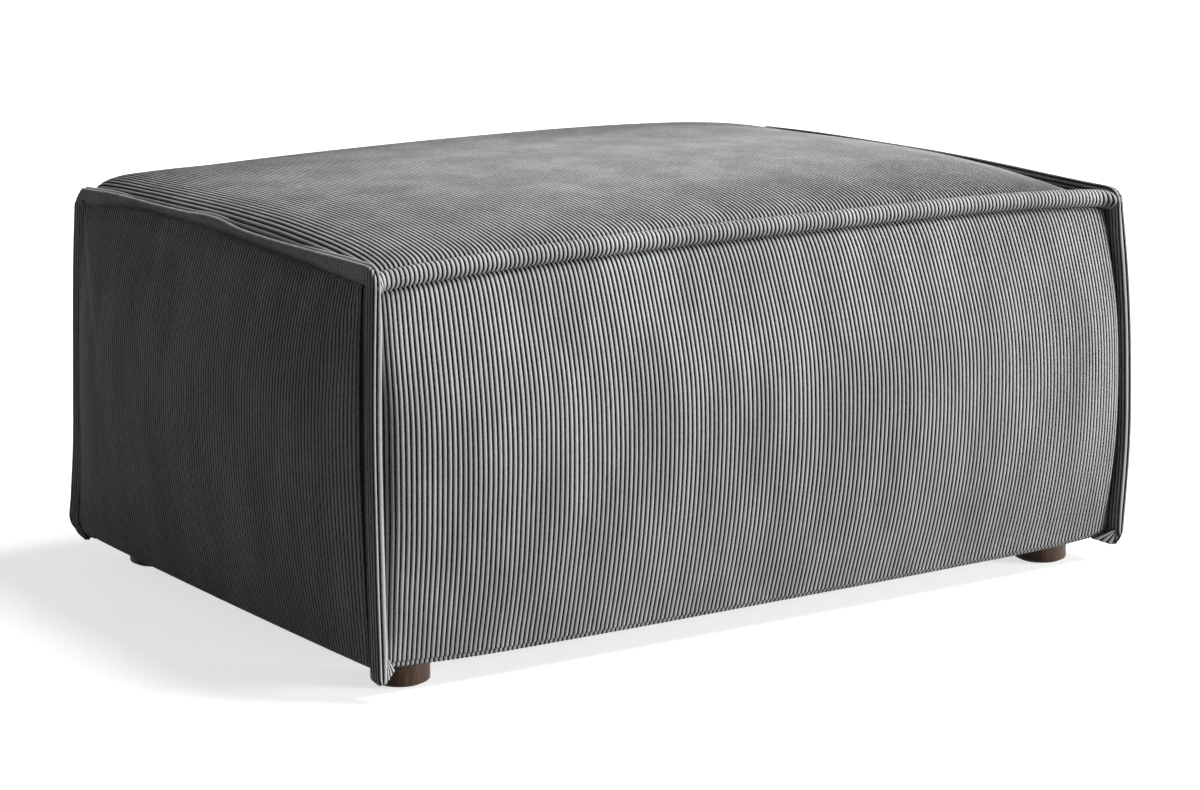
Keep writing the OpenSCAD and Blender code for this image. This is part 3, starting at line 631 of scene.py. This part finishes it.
def makeLip(side):
    # the flange along the front or back top seam: a rounded lip with wales across it
    sign, end = (-1, 0) if side == "front" else (1, 1)
    section, around = smoothLoop(lipValues["outline"], lipValues["steps"])
    along, outwards, upwards = lipValues["flare"]
    half = body["halfLong"]

    def flareAt(shares):
        return np.exp(-(np.minimum(shares, 1 - shares) * 2 * half / lipValues["flareWide"]) ** 2)

    shares = np.linspace(0, 1, wale["samples"])
    profile = np.stack([shares * 2 * half, outwards * flareAt(shares)], axis=1)
    us, phase = waleLines(profile, wale["count"]["long"])
    flare = flareAt(us)[None, :]
    x = mix(-half - leanAlong("left", end), half + leanAlong("right", end), us)
    out = body["seamY"] + leanAlong(side, us)
    inward, up = section[:, 0:1], section[:, 1:2]
    high = unit(up / lipValues["high"])
    bulge = unit(-inward / 4) * np.sin(math.pi * unit(0.25 + 0.5 * high))
    base = np.stack(np.broadcast_arrays(
        x + np.sign(us - 0.5) * flare * high * along,
        sign * (out - inward + outwards * flare * bulge),
        topSeam[side](x) + up + upwards * flare), axis=2)
    normal = gridNormals(base, base - base.mean(axis=0, keepdims=True))
    points = base + normal * (lipValues["relief"] * waleHeight(phase + 0.5))[None, :, None]
    points = np.concatenate([points, points[:1]])
    run = np.append(around, around[-1] + 4)[:, None]
    piece = clothGrid(side + "Lip", points)
    putWaleMap(piece, waleRidge(phase + 0.5)[None, :], run / wale["pitch"])
    closeTube(piece, [base[:, 0].mean(axis=0), base[:, -1].mean(axis=0)])
    return piece


# section of a side flange: out from its root, and across from its middle; the outer ply comes first
flangeValues = {
    "outline": [(-13, -2.8), (-3.3, -3.6), (3, -4.2), (9, -4.5), (15, -4.6), (18, -4.5), (19.3, -3.8),
                (19.9, -2.4), (20, 0), (19.9, 2.4), (19.3, 3.8), (18, 4.5), (15, 4.6), (9, 4.5), (3, 4.2),
                (-3.3, 3.6), (-13, 2.8)],
    "buried": 3.3,  # what lies deeper than this is drawn in at the corners and the feet
    "foldDeep": 0.6,  # groove between the two plies at the fold
    "inner": {(-1, -1): 0.6, (1, -1): 0.5, (-1, 1): 0.4, (1, 1): 0.4},  # how much fuller the inner ply is
    "turnIn": 3,  # over how far the outer ply turns in to its stitches
    "relief": 0.8,  # of a wale's relief along the fold
    "reliefAcross": 0.35,  # and across it, on the outer face of the top stretch
    "piping": 1.3,  # ridge on the inner edge of the top stretch
    "pipingAt": (2.6, 1.4),  # its distance from the fold, and its width
    "foldWide": 1.2,
    "outerPly": -0.2,  # the outer ply lies further across than this
    "crossedTone": (0.5, 0.34),  # its grooves on the top stretch, and how much paler its crests are
    "cornerAt": 330,  # where the height of the tip is taken for a leg
    "legSteps": [0, 0.003, 0.007, 0.014, 0.025, 0.04, 0.07, *np.linspace(0.1, 1, 32)],
    "turnSteps": 40,
    "topSteps": 5,  # points to a wale along the top stretch
    "ends": (0.03, 0.04),  # share of a leg over which it is drawn in, at the foot and at the corner
    "pinch": (0.45, 0.008),  # the foot's plies are pinched: how much, over what share
    "fullFrom": 12,  # the inner ply is full from a twelfth of the leg on
    "wave": (0.5, 60),  # unevenness across, and over what length
    "squareness": {(-1, -1): 3, (1, -1): 2.4, (-1, 1): 1.2, (1, 1): 2},
    "lean": {-1: 3.5, 1: 0},  # how far the top stretch leans in over the seat
    "footZ": {(-1, -1): [(-3.3, 32), (0, 27), (4, 20.5), (10, 18.5), (17, 18.5), (20, 20)],
              (1, -1): [(-3.3, 28), (0, 24), (6, 20), (10, 19), (15, 25), (20, 33)],
              (-1, 1): [(-3.3, 32), (0, 27), (6, 22.5), (9, 23), (14, 31), (20, 42)],
              (1, 1): [(-3.3, 28), (0, 24), (6, 20), (10, 19.5), (15, 25), (20, 32)]},
    # height of the top stretch along it
    "tip": curves({
        "left": [(-345, 430), (-193, 430), (-110, 431), (-48, 434), (-15, 438), (10, 439),
                 (60, 437), (145, 436), (257, 436), (310, 434), (345, 433)],
        "right": [(-345, 433), (-298, 434), (-129, 441), (0, 444), (55, 444.5), (250, 444),
                  (345, 442)],
    }),
}


def foldSection():
    # the section's points, spaced as the wales are, and their distance from the middle of the fold
    fine, d = smoothLoop(flangeValues["outline"], 600)
    middle = d[-1] / 2
    count = int(middle / wale["pitch"])
    steps = [k + share for k in range(-count, count) for share in wale["steps"]] + [count]
    arc = np.array(steps, float) * wale["pitch"]
    return np.interp(arc + middle, d, fine[:, 0]), np.interp(arc + middle, d, fine[:, 1]), arc


def makeSideFlange(name, sx):
    values = flangeValues
    r, c, arc = foldSection()
    pitch, seamY, seamX = wale["pitch"], body["seamY"], body["seamX"]
    root, tipOut = values["buried"], r.max()
    side = "left" if sx < 0 else "right"
    tip, seamAlong = values["tip"][side], topSeam[side]
    third = len(r) // 3
    unrolled = arc + r[third] - arc[third]
    shallow = np.maximum(r, -root)
    isOuter = c < values["outerPly"]

    def acrossAt(reach, edge):
        # the outer ply turns in where the panel beside it begins
        return np.where(c < 0, c * np.clip((reach - edge) / values["turnIn"] + 0.4, 0.1, 1), c)

    legEdge = body["halfShort"] - seamY
    half = {}
    for sy in (-1, 1):
        # one leg from its foot up, then the turn onto the top
        lean = edgeLean[sx, sy]
        cornerZ = float(tip(sy * values["cornerAt"])) - root - tipOut
        foot = throughPoints(values["footZ"][sx, sy])(r)
        rows, outer = [], []
        for s in values["legSteps"]:
            z = mix(foot, cornerZ, s)
            deep = unit(s / values["ends"][0]) * unit((1 - s) / values["ends"][1])
            out = mix(shallow, r, deep)
            pinch = 1 - values["pinch"][0] * math.exp(-(s / values["pinch"][1]) ** 2)
            fuller = values["inner"][sx, sy] * min(1, s * values["fullFrom"], (1 - s) * values["fullFrom"])
            across = acrossAt(out, legEdge) * pinch * np.where(c > 0, 1 + fuller, 1)
            rows.append(np.stack([sx * (seamX + lean(z) - across), sy * (seamY + lean(z) + out), z], axis=1))
            outer.append(arc / pitch)
        lean = float(lean(cornerZ))
        centre = seamY + lean - root
        unrolledFold = centre + root + unrolled[len(arc) // 2]
        power = values["squareness"][sx, sy]
        topEdge = float(seamAlong(sy * centre) - tip(sy * centre)) + tipOut
        for a in np.radians(np.linspace(0, 90, values["turnSteps"] + 2)[1:-1]):
            square = (math.cos(a) ** power + math.sin(a) ** power) ** (-1 / power)
            reach = (shallow + root) * square
            across = acrossAt(shallow, mix(legEdge, topEdge, a * 2 / math.pi))
            rows.append(np.stack([sx * (seamX + lean - across), sy * (centre + reach * math.cos(a)),
                                  cornerZ + reach * math.sin(a)], axis=1))
            outer.append((centre + (unrolled + root) * square * math.cos(a) - unrolledFold) / pitch)
        half[sy] = (np.array(rows), np.array(outer), centre, unrolledFold, lean)

    # the top stretch between the two turns, its outer wales across it
    folds = half[-1][3] + half[1][3]
    count = int(round(folds / pitch))
    ys = np.linspace(-half[-1][2], half[1][2], values["topSteps"] * count)
    lean = mix(half[-1][4], half[1][4], (ys + seamY) / (2 * seamY))
    inward = values["lean"][sx] * (shallow + root)[None, :] / (tipOut + root)
    ends = unit((1 - np.abs(ys) / half[1][2]) * 6)[:, None]
    across = acrossAt(shallow[None, :], (seamAlong(ys) - tip(ys))[:, None] + tipOut)
    over = np.stack(np.broadcast_arrays(sx * (seamX + lean[:, None] - across - inward * ends), ys[:, None],
                                        tip(ys)[:, None] - tipOut + shallow[None, :]), axis=2)
    overOuter = (ys[:, None] + half[-1][3]) * count / folds + 0 * c[None, :]
    base = np.concatenate([half[-1][0], over, half[1][0][::-1]])
    outerPhase = np.concatenate([half[-1][1], overOuter, half[1][1][::-1]])
    phase = np.where(isOuter[None, :], outerPhase, arc[None, :] / pitch)

    # wales, the groove between the plies, the piping and a slight wave
    row = np.arange(len(base))
    turn = values["turnSteps"]
    onTop = unit((row - len(half[-1][0]) + turn) / turn) * unit(
        (len(base) - len(half[1][0]) + turn - row) / turn)
    onTop = onTop[:, None] * np.ones((1, len(arc)))
    crossed = onTop * isOuter[None, :]
    pipingAt, pipingWide = values["pipingAt"]
    fold = values["foldDeep"] * np.exp(-(arc / values["foldWide"]) ** 2)[None, :]
    piping = values["piping"] * onTop * np.exp(-((arc - pipingAt) / pipingWide) ** 2)[None, :]
    relief = mix(values["relief"], values["reliefAcross"], crossed)
    rise = relief * (waleHeight(phase) - wale["crest"]) - fold + piping
    points = base + gridNormals(base, base - base.mean(axis=1, keepdims=True)) * rise[:, :, None]
    wave, length = values["wave"]
    wave = wave * smoothNoise(base[:, :, 1] / length, base[:, :, 2] / length, 41 + sx, low=0.5, high=1.8)
    points[:, :, 0] += wave * unit((shallow + root) / 12)[None, :]
    groove, paler = values["crossedTone"]
    ridge = mix(waleRidge(phase), groove + paler * waleRidge(phase), crossed)
    points, ridge = (np.concatenate([part, part[:, :1]], axis=1) for part in (points, ridge))
    run = runAlong(base.mean(axis=1))[:, None]
    piece = clothGrid(name, points)
    putWaleMap(piece, ridge, run / pitch)
    closeTube(piece, [base[0].mean(axis=0), base[-1].mean(axis=0)])
    return piece


# corner tucks: the folded triangle between a flange's foot and the front or back hem
tuckValues = {
    "wide": {(-1, -1): 14, (1, -1): 27, (-1, 1): 16, (1, 1): 26},
    "hemOut": {(-1, -1): 13, (1, -1): 4.5, (-1, 1): 5, (1, 1): 4.5},
    "apex": {(-1, -1): (18, 50), (1, -1): (16.5, 40), (-1, 1): (15, 42), (1, 1): (16, 40)},  # out, up
    "tip": {(-1, -1): (17.5, 18.5), (1, -1): (10.5, 19), (-1, 1): (8, 22.5), (1, 1): (10.5, 19.5)},
    "ribs": {(-1, -1): 4, (1, -1): 3, (-1, 1): 3, (1, 1): 3},
    "thick": 2.6,
    "rows": 24,
    "leanAt": 25,  # height at which the upright edge's lean is taken
    "beside": 3.4,  # how far inside the flange's middle it starts
    "hemUp": 1.5,
    "swell": 1.4,
    "curl": 1.3,
    "relief": 0.8,
}


def makeCornerTuck(sx, sy):
    values = tuckValues
    side = "front" if sy < 0 else "back"
    name = side + ("Left" if sx < 0 else "Right") + "Tuck"
    keys = ("wide", "hemOut", "apex", "tip", "ribs")
    wide, hemOut, apex, tip, ribs = (values[key][sx, sy] for key in keys)
    lean = edgeLean[sx, sy](values["leanAt"])
    seamY, x0 = body["seamY"] + lean, body["seamX"] + lean - values["beside"]
    phase = np.array([k + s for k in range(ribs) for s in wale["steps"]] + [ribs], float)[None, :]
    u = phase / ribs
    v = np.linspace(0.04, 1, values["rows"])[:, None]
    hem = hemLine[side](sx * (body["halfLong"] - wide)) + values["hemUp"]
    # the lower edge runs from the flange's tip to the hem
    out = mix(apex[0], mix(tip[0], hemOut, u ** values["curl"]), v) + values["swell"] * np.sin(math.pi * v)
    z = mix(apex[1], mix(tip[1], hem, u), v)
    outer = np.stack(np.broadcast_arrays(sx * (x0 - wide * u * v), sy * (seamY + out), z), axis=2)
    normal = gridNormals(outer, (0, sy, 0))
    front = outer + normal * (values["relief"] * waleHeight(phase) * v)[:, :, None]
    behind = outer - normal * values["thick"]
    points = np.concatenate([front, behind[::-1], front[:1]])
    piece = clothGrid(name, points)
    putWaleMap(piece, waleRidge(phase), np.arange(len(points))[:, None] * 0.2)
    closeTube(piece, [points[:, 0].mean(axis=0), points[:, -1].mean(axis=0)])
    return piece


lips = {side: makeLip(side) for side in ("front", "back")}
flanges = {"left": makeSideFlange("leftFlange", -1), "right": makeSideFlange("rightFlange", 1)}
tucks = [makeCornerTuck(sx, sy) for sx in (-1, 1) for sy in (-1, 1)]
print("flanges made")


# dust cover: thin cloth stapled up under the frame

dustValues = {
    "sag": 2.2,  # in the middle of its width
    "sagFrom": 60,  # it grows over this distance from the edge, and the ripple over pullFrom
    "pull": 0.7,  # ripple between the staples
    "pullFrom": 40,
    "under": 0.3,
    "cell": 6,
    "thick": 0.35,
}


def makeDustCover():
    values = dustValues
    low, high = (np.array(corner) * 1000 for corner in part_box("dust_cover"))
    size = high - low
    cols, rows = (int(size[k] / values["cell"]) for k in (0, 1))
    x = np.linspace(low[0], high[0], cols)[None, :]
    y = np.linspace(low[1], high[1], rows)[:, None]
    a, b = 2 * (x - low[0]) / size[0] - 1, 2 * (y - low[1]) / size[1] - 1
    edge = np.minimum((1 - np.abs(a)) * size[0] / 2, (1 - np.abs(b)) * size[1] / 2)
    droop = values["sag"] * (1 - a**4) * (1 - b**4)
    ripple = values["pull"] * smoothNoise(a * 9, b * 7, 77) * unit(edge / values["pullFrom"])
    z = high[2] - values["under"] - droop * unit(edge / values["sagFrom"]) - np.abs(ripple)
    x, y, z = np.broadcast_arrays(x, y, z)
    piece = clothGrid("dustCover", np.stack([x, y, z], axis=2))
    makeActive(piece)
    bpy.ops.object.mode_set(mode="EDIT")
    bpy.ops.mesh.select_all(action="SELECT")
    bpy.ops.mesh.flip_normals()
    bpy.ops.object.mode_set(mode="OBJECT")
    bpy.ops.object.modifier_add(type="SOLIDIFY")
    piece.modifiers[-1].thickness = values["thick"] / 1000
    bpy.ops.object.modifier_apply(modifier=piece.modifiers[-1].name)
    smoothShade(piece, 60)
    return piece, size


dustCover, dustSize = makeDustCover()
print("dust cover made")


# materials

def newMaterial(name):
    material = bpy.data.materials.new(name)
    material.use_nodes = True
    tree = material.node_tree
    return material, tree, tree.nodes["Principled BSDF"]


def newGroup(name, inputs, outputs):
    group = bpy.data.node_groups.new(name, "ShaderNodeTree")
    for socket, kind in inputs.items():
        group.interface.new_socket(socket, in_out="INPUT", socket_type="NodeSocket" + kind)
    for socket in outputs:
        group.interface.new_socket(socket, in_out="OUTPUT", socket_type="NodeSocketFloat")
    return group, node(group, "NodeGroupInput"), node(group, "NodeGroupOutput")


def node(tree, kind, links={}, sockets={}, **values):
    # a new node at the row's end: what its sockets are linked to, their plain values, and its settings
    made = tree.nodes.new(kind)
    made.location = (200 * len(tree.nodes), 0)
    for key, value in values.items():
        setattr(made, key, value)
    for key, value in sockets.items():
        made.inputs[key].default_value = value
    for key, value in links.items():
        tree.links.new(value, made.inputs[key])
    return made


def mathNode(tree, operation, a, b):
    # of a socket, and a number or another socket
    links, sockets = ({0: a}, {1: b}) if isinstance(b, float) else ({0: a, 1: b}, {})
    return node(tree, "ShaderNodeMath", links, sockets, operation=operation).outputs[0]


def mapRange(tree, value, span, onto=(0, 1), kind="SMOOTHSTEP"):
    limits = dict(zip(("From Min", "From Max", "To Min", "To Max"), (*span, *onto)))
    return node(tree, "ShaderNodeMapRange", {"Value": value}, limits, interpolation_type=kind).outputs[0]


def noiseNode(tree, vector, scale, detail):
    sockets = {"Scale": scale, "Detail": detail}
    return node(tree, "ShaderNodeTexNoise", {"Vector": vector}, sockets, noise_dimensions="3D").outputs[0]


def mixColours(tree, share, low, high):
    colours = {"A": (*low, 1), "B": (*high, 1)}
    return node(tree, "ShaderNodeMix", {"Factor": share}, colours, data_type="RGBA").outputs["Result"]


def finishShader(tree, shader, colour, height, bump, **sockets):
    raised = node(tree, "ShaderNodeBump", {"Height": height}, {"Strength": bump[0], "Distance": bump[1]})
    tree.links.new(colour, shader.inputs["Base Color"])
    tree.links.new(raised.outputs[0], shader.inputs["Normal"])
    for name, value in sockets.items():
        shader.inputs[name.replace("_", " ")].default_value = value


corduroyValues = {
    "crestColour": (0.355, 0.367, 0.36),
    # the grooves' colour is partly the base cloth and partly painted shade deep in the grooves
    "grooveColour": (0.008, 0.0085, 0.0082),
    "crest": (0.3, 0.9),  # ridge shares between the groove's colour and the crest's
    "ragged": (520, 0.5),  # scale and amount of the pile's ragged edge
    "fibre": (900, 0.5),  # scale and amount of the single fibres
    "brushed": 0.34,  # how much lighter the pile is where it lies the other way
    # where it does, in patches and in streaks: scale, detail, stretch, span and share
    "naps": [(17, 4.5, (1, 1, 0.35), (0.36, 0.66), 0.7), (70, 3, (1, 1, 0.14), (0.38, 0.64), 0.3)],
    "bump": (0.35, 0.0006),
    "roughness": 0.85,
    "specular": 0.15,
    "sheen": (0.05, 0.45),  # amount and roughness
}


def makePileGroup():
    # crests from the cloth's own map; fibres and brushed patches from the object's own space
    group, start, end = newGroup(
        "corduroyPile", {"Ridge": "Float", "Place": "Vector"}, ["Crest", "Fibre", "Nap"])

    def noise(scale, detail, stretch=(1, 1, 1)):
        stretched = node(group, "ShaderNodeVectorMath", {0: start.outputs["Place"]}, {1: stretch},
                         operation="MULTIPLY")
        return noiseNode(group, stretched.outputs[0], scale, detail)

    scale, amount = corduroyValues["ragged"]
    ragged = node(group, "ShaderNodeMath", {0: noise(scale, 2)}, {1: amount, 2: -amount / 2},
                  operation="MULTIPLY_ADD")
    height = mathNode(group, "ADD", start.outputs["Ridge"], ragged.outputs[0])
    naps = []
    for scale, detail, stretch, span, share in corduroyValues["naps"]:
        patch = mapRange(group, noise(scale, detail, stretch), span)
        naps.append(mathNode(group, "MULTIPLY", patch, share))
    group.links.new(mapRange(group, height, corduroyValues["crest"]), end.inputs["Crest"])
    group.links.new(noise(corduroyValues["fibre"][0], 2), end.inputs["Fibre"])
    group.links.new(mathNode(group, "ADD", *naps), end.inputs["Nap"])
    return group


def makeCorduroy():
    values = corduroyValues
    material, tree, shader = newMaterial("greyCorduroy")
    cloth = node(tree, "ShaderNodeUVMap", uv_map="wales")
    split = node(tree, "ShaderNodeSeparateXYZ", {0: cloth.outputs[0]})
    place = node(tree, "ShaderNodeTexCoord")
    pile = node(tree, "ShaderNodeGroup", node_tree=makePileGroup())
    tree.links.new(split.outputs[0], pile.inputs["Ridge"])
    tree.links.new(place.outputs["Object"], pile.inputs["Place"])
    colour = mixColours(tree, pile.outputs["Crest"], values["grooveColour"], values["crestColour"])
    fibre, brushed = values["fibre"][1], values["brushed"]
    shade = mathNode(tree, "ADD", mathNode(tree, "MULTIPLY", pile.outputs["Fibre"], fibre),
                     mathNode(tree, "MULTIPLY", pile.outputs["Nap"], brushed))
    shade = mathNode(tree, "ADD", shade, 1 - fibre / 2 - brushed / 2)
    tinted = node(tree, "ShaderNodeVectorMath", {0: colour, "Scale": shade}, operation="SCALE")
    finishShader(tree, shader, tinted.outputs[0], pile.outputs["Fibre"], values["bump"],
                 Roughness=values["roughness"], Specular_IOR_Level=values["specular"],
                 Sheen_Weight=values["sheen"][0], Sheen_Roughness=values["sheen"][1])
    return material


# plain finishes: low colour, high colour, the grain's stretch, roughness, metallic, bump
finishValues = {
    "dust_cloth": ((0.012, 0.012, 0.013), (0.03, 0.03, 0.031), (900, 900, 900), 0.9, 0, 0.4),
    "foot_wood": ((0.05, 0.03, 0.019), (0.085, 0.055, 0.036), (220, 220, 40), 0.4, 0, 0.08),
    "glide_nylon": ((0.02, 0.02, 0.02), (0.035, 0.035, 0.035), (300, 300, 300), 0.5, 0, 0.1),
    "frame_wood": ((0.42, 0.27, 0.14), (0.58, 0.42, 0.25), (12, 60, 60), 0.6, 0, 0.2),
    "hardboard": ((0.15, 0.085, 0.045), (0.21, 0.13, 0.075), (220, 220, 220), 0.7, 0, 0.2),
    "dowel_wood": ((0.5, 0.36, 0.2), (0.62, 0.48, 0.3), (80, 20, 80), 0.6, 0, 0.2),
    "zinc_steel": ((0.55, 0.54, 0.5), (0.7, 0.69, 0.66), (180, 180, 180), 0.35, 1, 0.05),
    "spring_steel": ((0.16, 0.16, 0.17), (0.26, 0.26, 0.27), (160, 160, 160), 0.4, 1, 0.05),
    "wrapped_wire": ((0.32, 0.25, 0.15), (0.45, 0.36, 0.23), (700, 80, 700), 0.8, 0, 0.3),
    "felt": ((0.30, 0.28, 0.25), (0.46, 0.44, 0.40), (260, 260, 260), 0.95, 0, 0.4),
    "foam": ((0.66, 0.58, 0.36), (0.78, 0.70, 0.46), (500, 500, 500), 0.9, 0, 0.4),
    "wadding": ((0.78, 0.78, 0.76), (0.88, 0.88, 0.87), (150, 150, 150), 0.95, 0, 0.4),
}


def makeGrainGroup():
    group, start, end = newGroup("grain", {"Stretch": "Vector"}, ["Grain", "Height"])
    place = node(group, "ShaderNodeTexCoord")
    scaled = node(group, "ShaderNodeVectorMath",
                  {0: place.outputs["Object"], 1: start.outputs["Stretch"]}, operation="MULTIPLY").outputs[0]
    group.links.new(noiseNode(group, scaled, 1, 5), end.inputs["Grain"])
    group.links.new(noiseNode(group, scaled, 6, 2), end.inputs["Height"])
    return group


grain = makeGrainGroup()


def makeFinish(name, low, high, stretch, roughness, metallic, relief):
    material, tree, shader = newMaterial(name)
    part = node(tree, "ShaderNodeGroup", node_tree=grain)
    part.inputs["Stretch"].default_value = stretch
    tone = mapRange(tree, part.outputs["Grain"], (0.35, 0.65), kind="LINEAR")
    finishShader(tree, shader, mixColours(tree, tone, low, high), part.outputs["Height"],
                 (relief, 0.0005), Roughness=roughness, Metallic=metallic, Specular_IOR_Level=0.12)
    return material


corduroy = makeCorduroy()
finishes = {name: makeFinish(name + "Finish", *values) for name, values in finishValues.items()}
finishes["corduroy"] = corduroy


def paint(piece, material):
    piece.data.materials.clear()
    piece.data.materials.append(material)


slotOfNode = {row["node"]: row["material_slot"] for row in frame["record"]["subparts"]}
for name, cadNode in frame["nodes"].items():
    paint(cadNode, finishes[slotOfNode[name]])
print("materials made")


# what each piece stands for

for side in ("front", "back", "left", "right"):
    piece = covers[side]
    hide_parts(side + "_cover_panel", side + "_wadding", side + "_foam")
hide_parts("top_cover_panel", "seat_wadding", "seat_foam", "insulator_felt")
for side, piece in lips.items():
    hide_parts(side + "_top_flange")
for side, piece in flanges.items():
    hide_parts(side + "_side_flange")
for piece in [*covers.values(), *lips.values(), *flanges.values(), *tucks]:
    paint(piece, corduroy)
    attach(piece, "root")
paint(dustCover, finishes["dust_cloth"])
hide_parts("dust_cover")
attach(dustCover, "root")


# floor, backdrop and lights

studio = {
    # name: (place, size, power)
    "lamps": {
        "keyLight": ((7.15, -6.8, 1.25), 3.2, 1400),
        "topLight": ((2.2, -1.6, 5.2), 3, 455),
        "sideLight": ((-4, 3, 2.4), 1.5, 6),
    },
    "fill": 0.052,
    "floorGlow": (0.68, 1),  # near the pouf, and far from it
    "floorGlowReach": (0.9, 2.2),
    "floorPale": (0.8, 0.8, 0.8),
    "floorBounce": (0.14, 0.14, 0.14),  # what the floor throws back onto the pouf
    "floorHalf": 15,
    "aim": (0, 0, 0.25),
}


def seenDirectly(tree):
    # 1 for what the camera sees, also by way of gloss or glass
    rays = node(tree, "ShaderNodeLightPath").outputs
    bent = mathNode(tree, "MAXIMUM", rays["Is Glossy Ray"], rays["Is Transmission Ray"])
    return mathNode(tree, "MAXIMUM", rays["Is Camera Ray"], bent), rays["Is Diffuse Ray"]


def makeStudio():
    deselectAll()
    bpy.ops.mesh.primitive_plane_add(size=1, location=(0, 0, 0))
    floor = bpy.context.active_object
    floor.name = "floor"
    for corner in floor.data.vertices:
        corner.co *= 2 * studio["floorHalf"]
    material, tree, shader = newMaterial("paleFloor")
    shader.inputs["Roughness"].default_value = 0.9
    seen, bounced = seenDirectly(tree)
    tone = mixColours(tree, bounced, studio["floorPale"], studio["floorBounce"])
    tree.links.new(tone, shader.inputs["Base Color"])
    ground = node(tree, "ShaderNodeTexCoord")
    far = node(tree, "ShaderNodeVectorMath", {0: ground.outputs["Object"]}, operation="LENGTH")
    fade = mapRange(tree, far.outputs["Value"], studio["floorGlowReach"], studio["floorGlow"])
    glow = node(tree, "ShaderNodeEmission", {"Strength": mathNode(tree, "MULTIPLY", seen, fade)})
    both = node(tree, "ShaderNodeAddShader", {0: shader.outputs[0], 1: glow.outputs[0]})
    tree.links.new(both.outputs[0], tree.nodes["Material Output"].inputs["Surface"])
    floor.data.materials.append(material)

    world = bpy.data.worlds.new("studio")
    scene.world = world
    world.use_nodes = True
    tree = world.node_tree
    sky = tree.nodes["Background"]
    sky.inputs["Color"].default_value = (1, 1, 1, 1)
    strength = node(tree, "ShaderNodeMix", {"Factor": seenDirectly(tree)[0]},
                    {"A": studio["fill"], "B": 1}, data_type="FLOAT")
    tree.links.new(strength.outputs["Result"], sky.inputs["Strength"])

    for name, (place, size, power) in studio["lamps"].items():
        bpy.ops.object.light_add(type="AREA", location=place)
        lamp = bpy.context.active_object
        lamp.name = name
        lamp.data.shape = "DISK"
        lamp.data.size = size
        lamp.data.energy = power
        aim = Vector(studio["aim"]) - Vector(place)
        lamp.rotation_euler = aim.to_track_quat("-Z", "Y").to_euler()


makeStudio()
print("studio made")
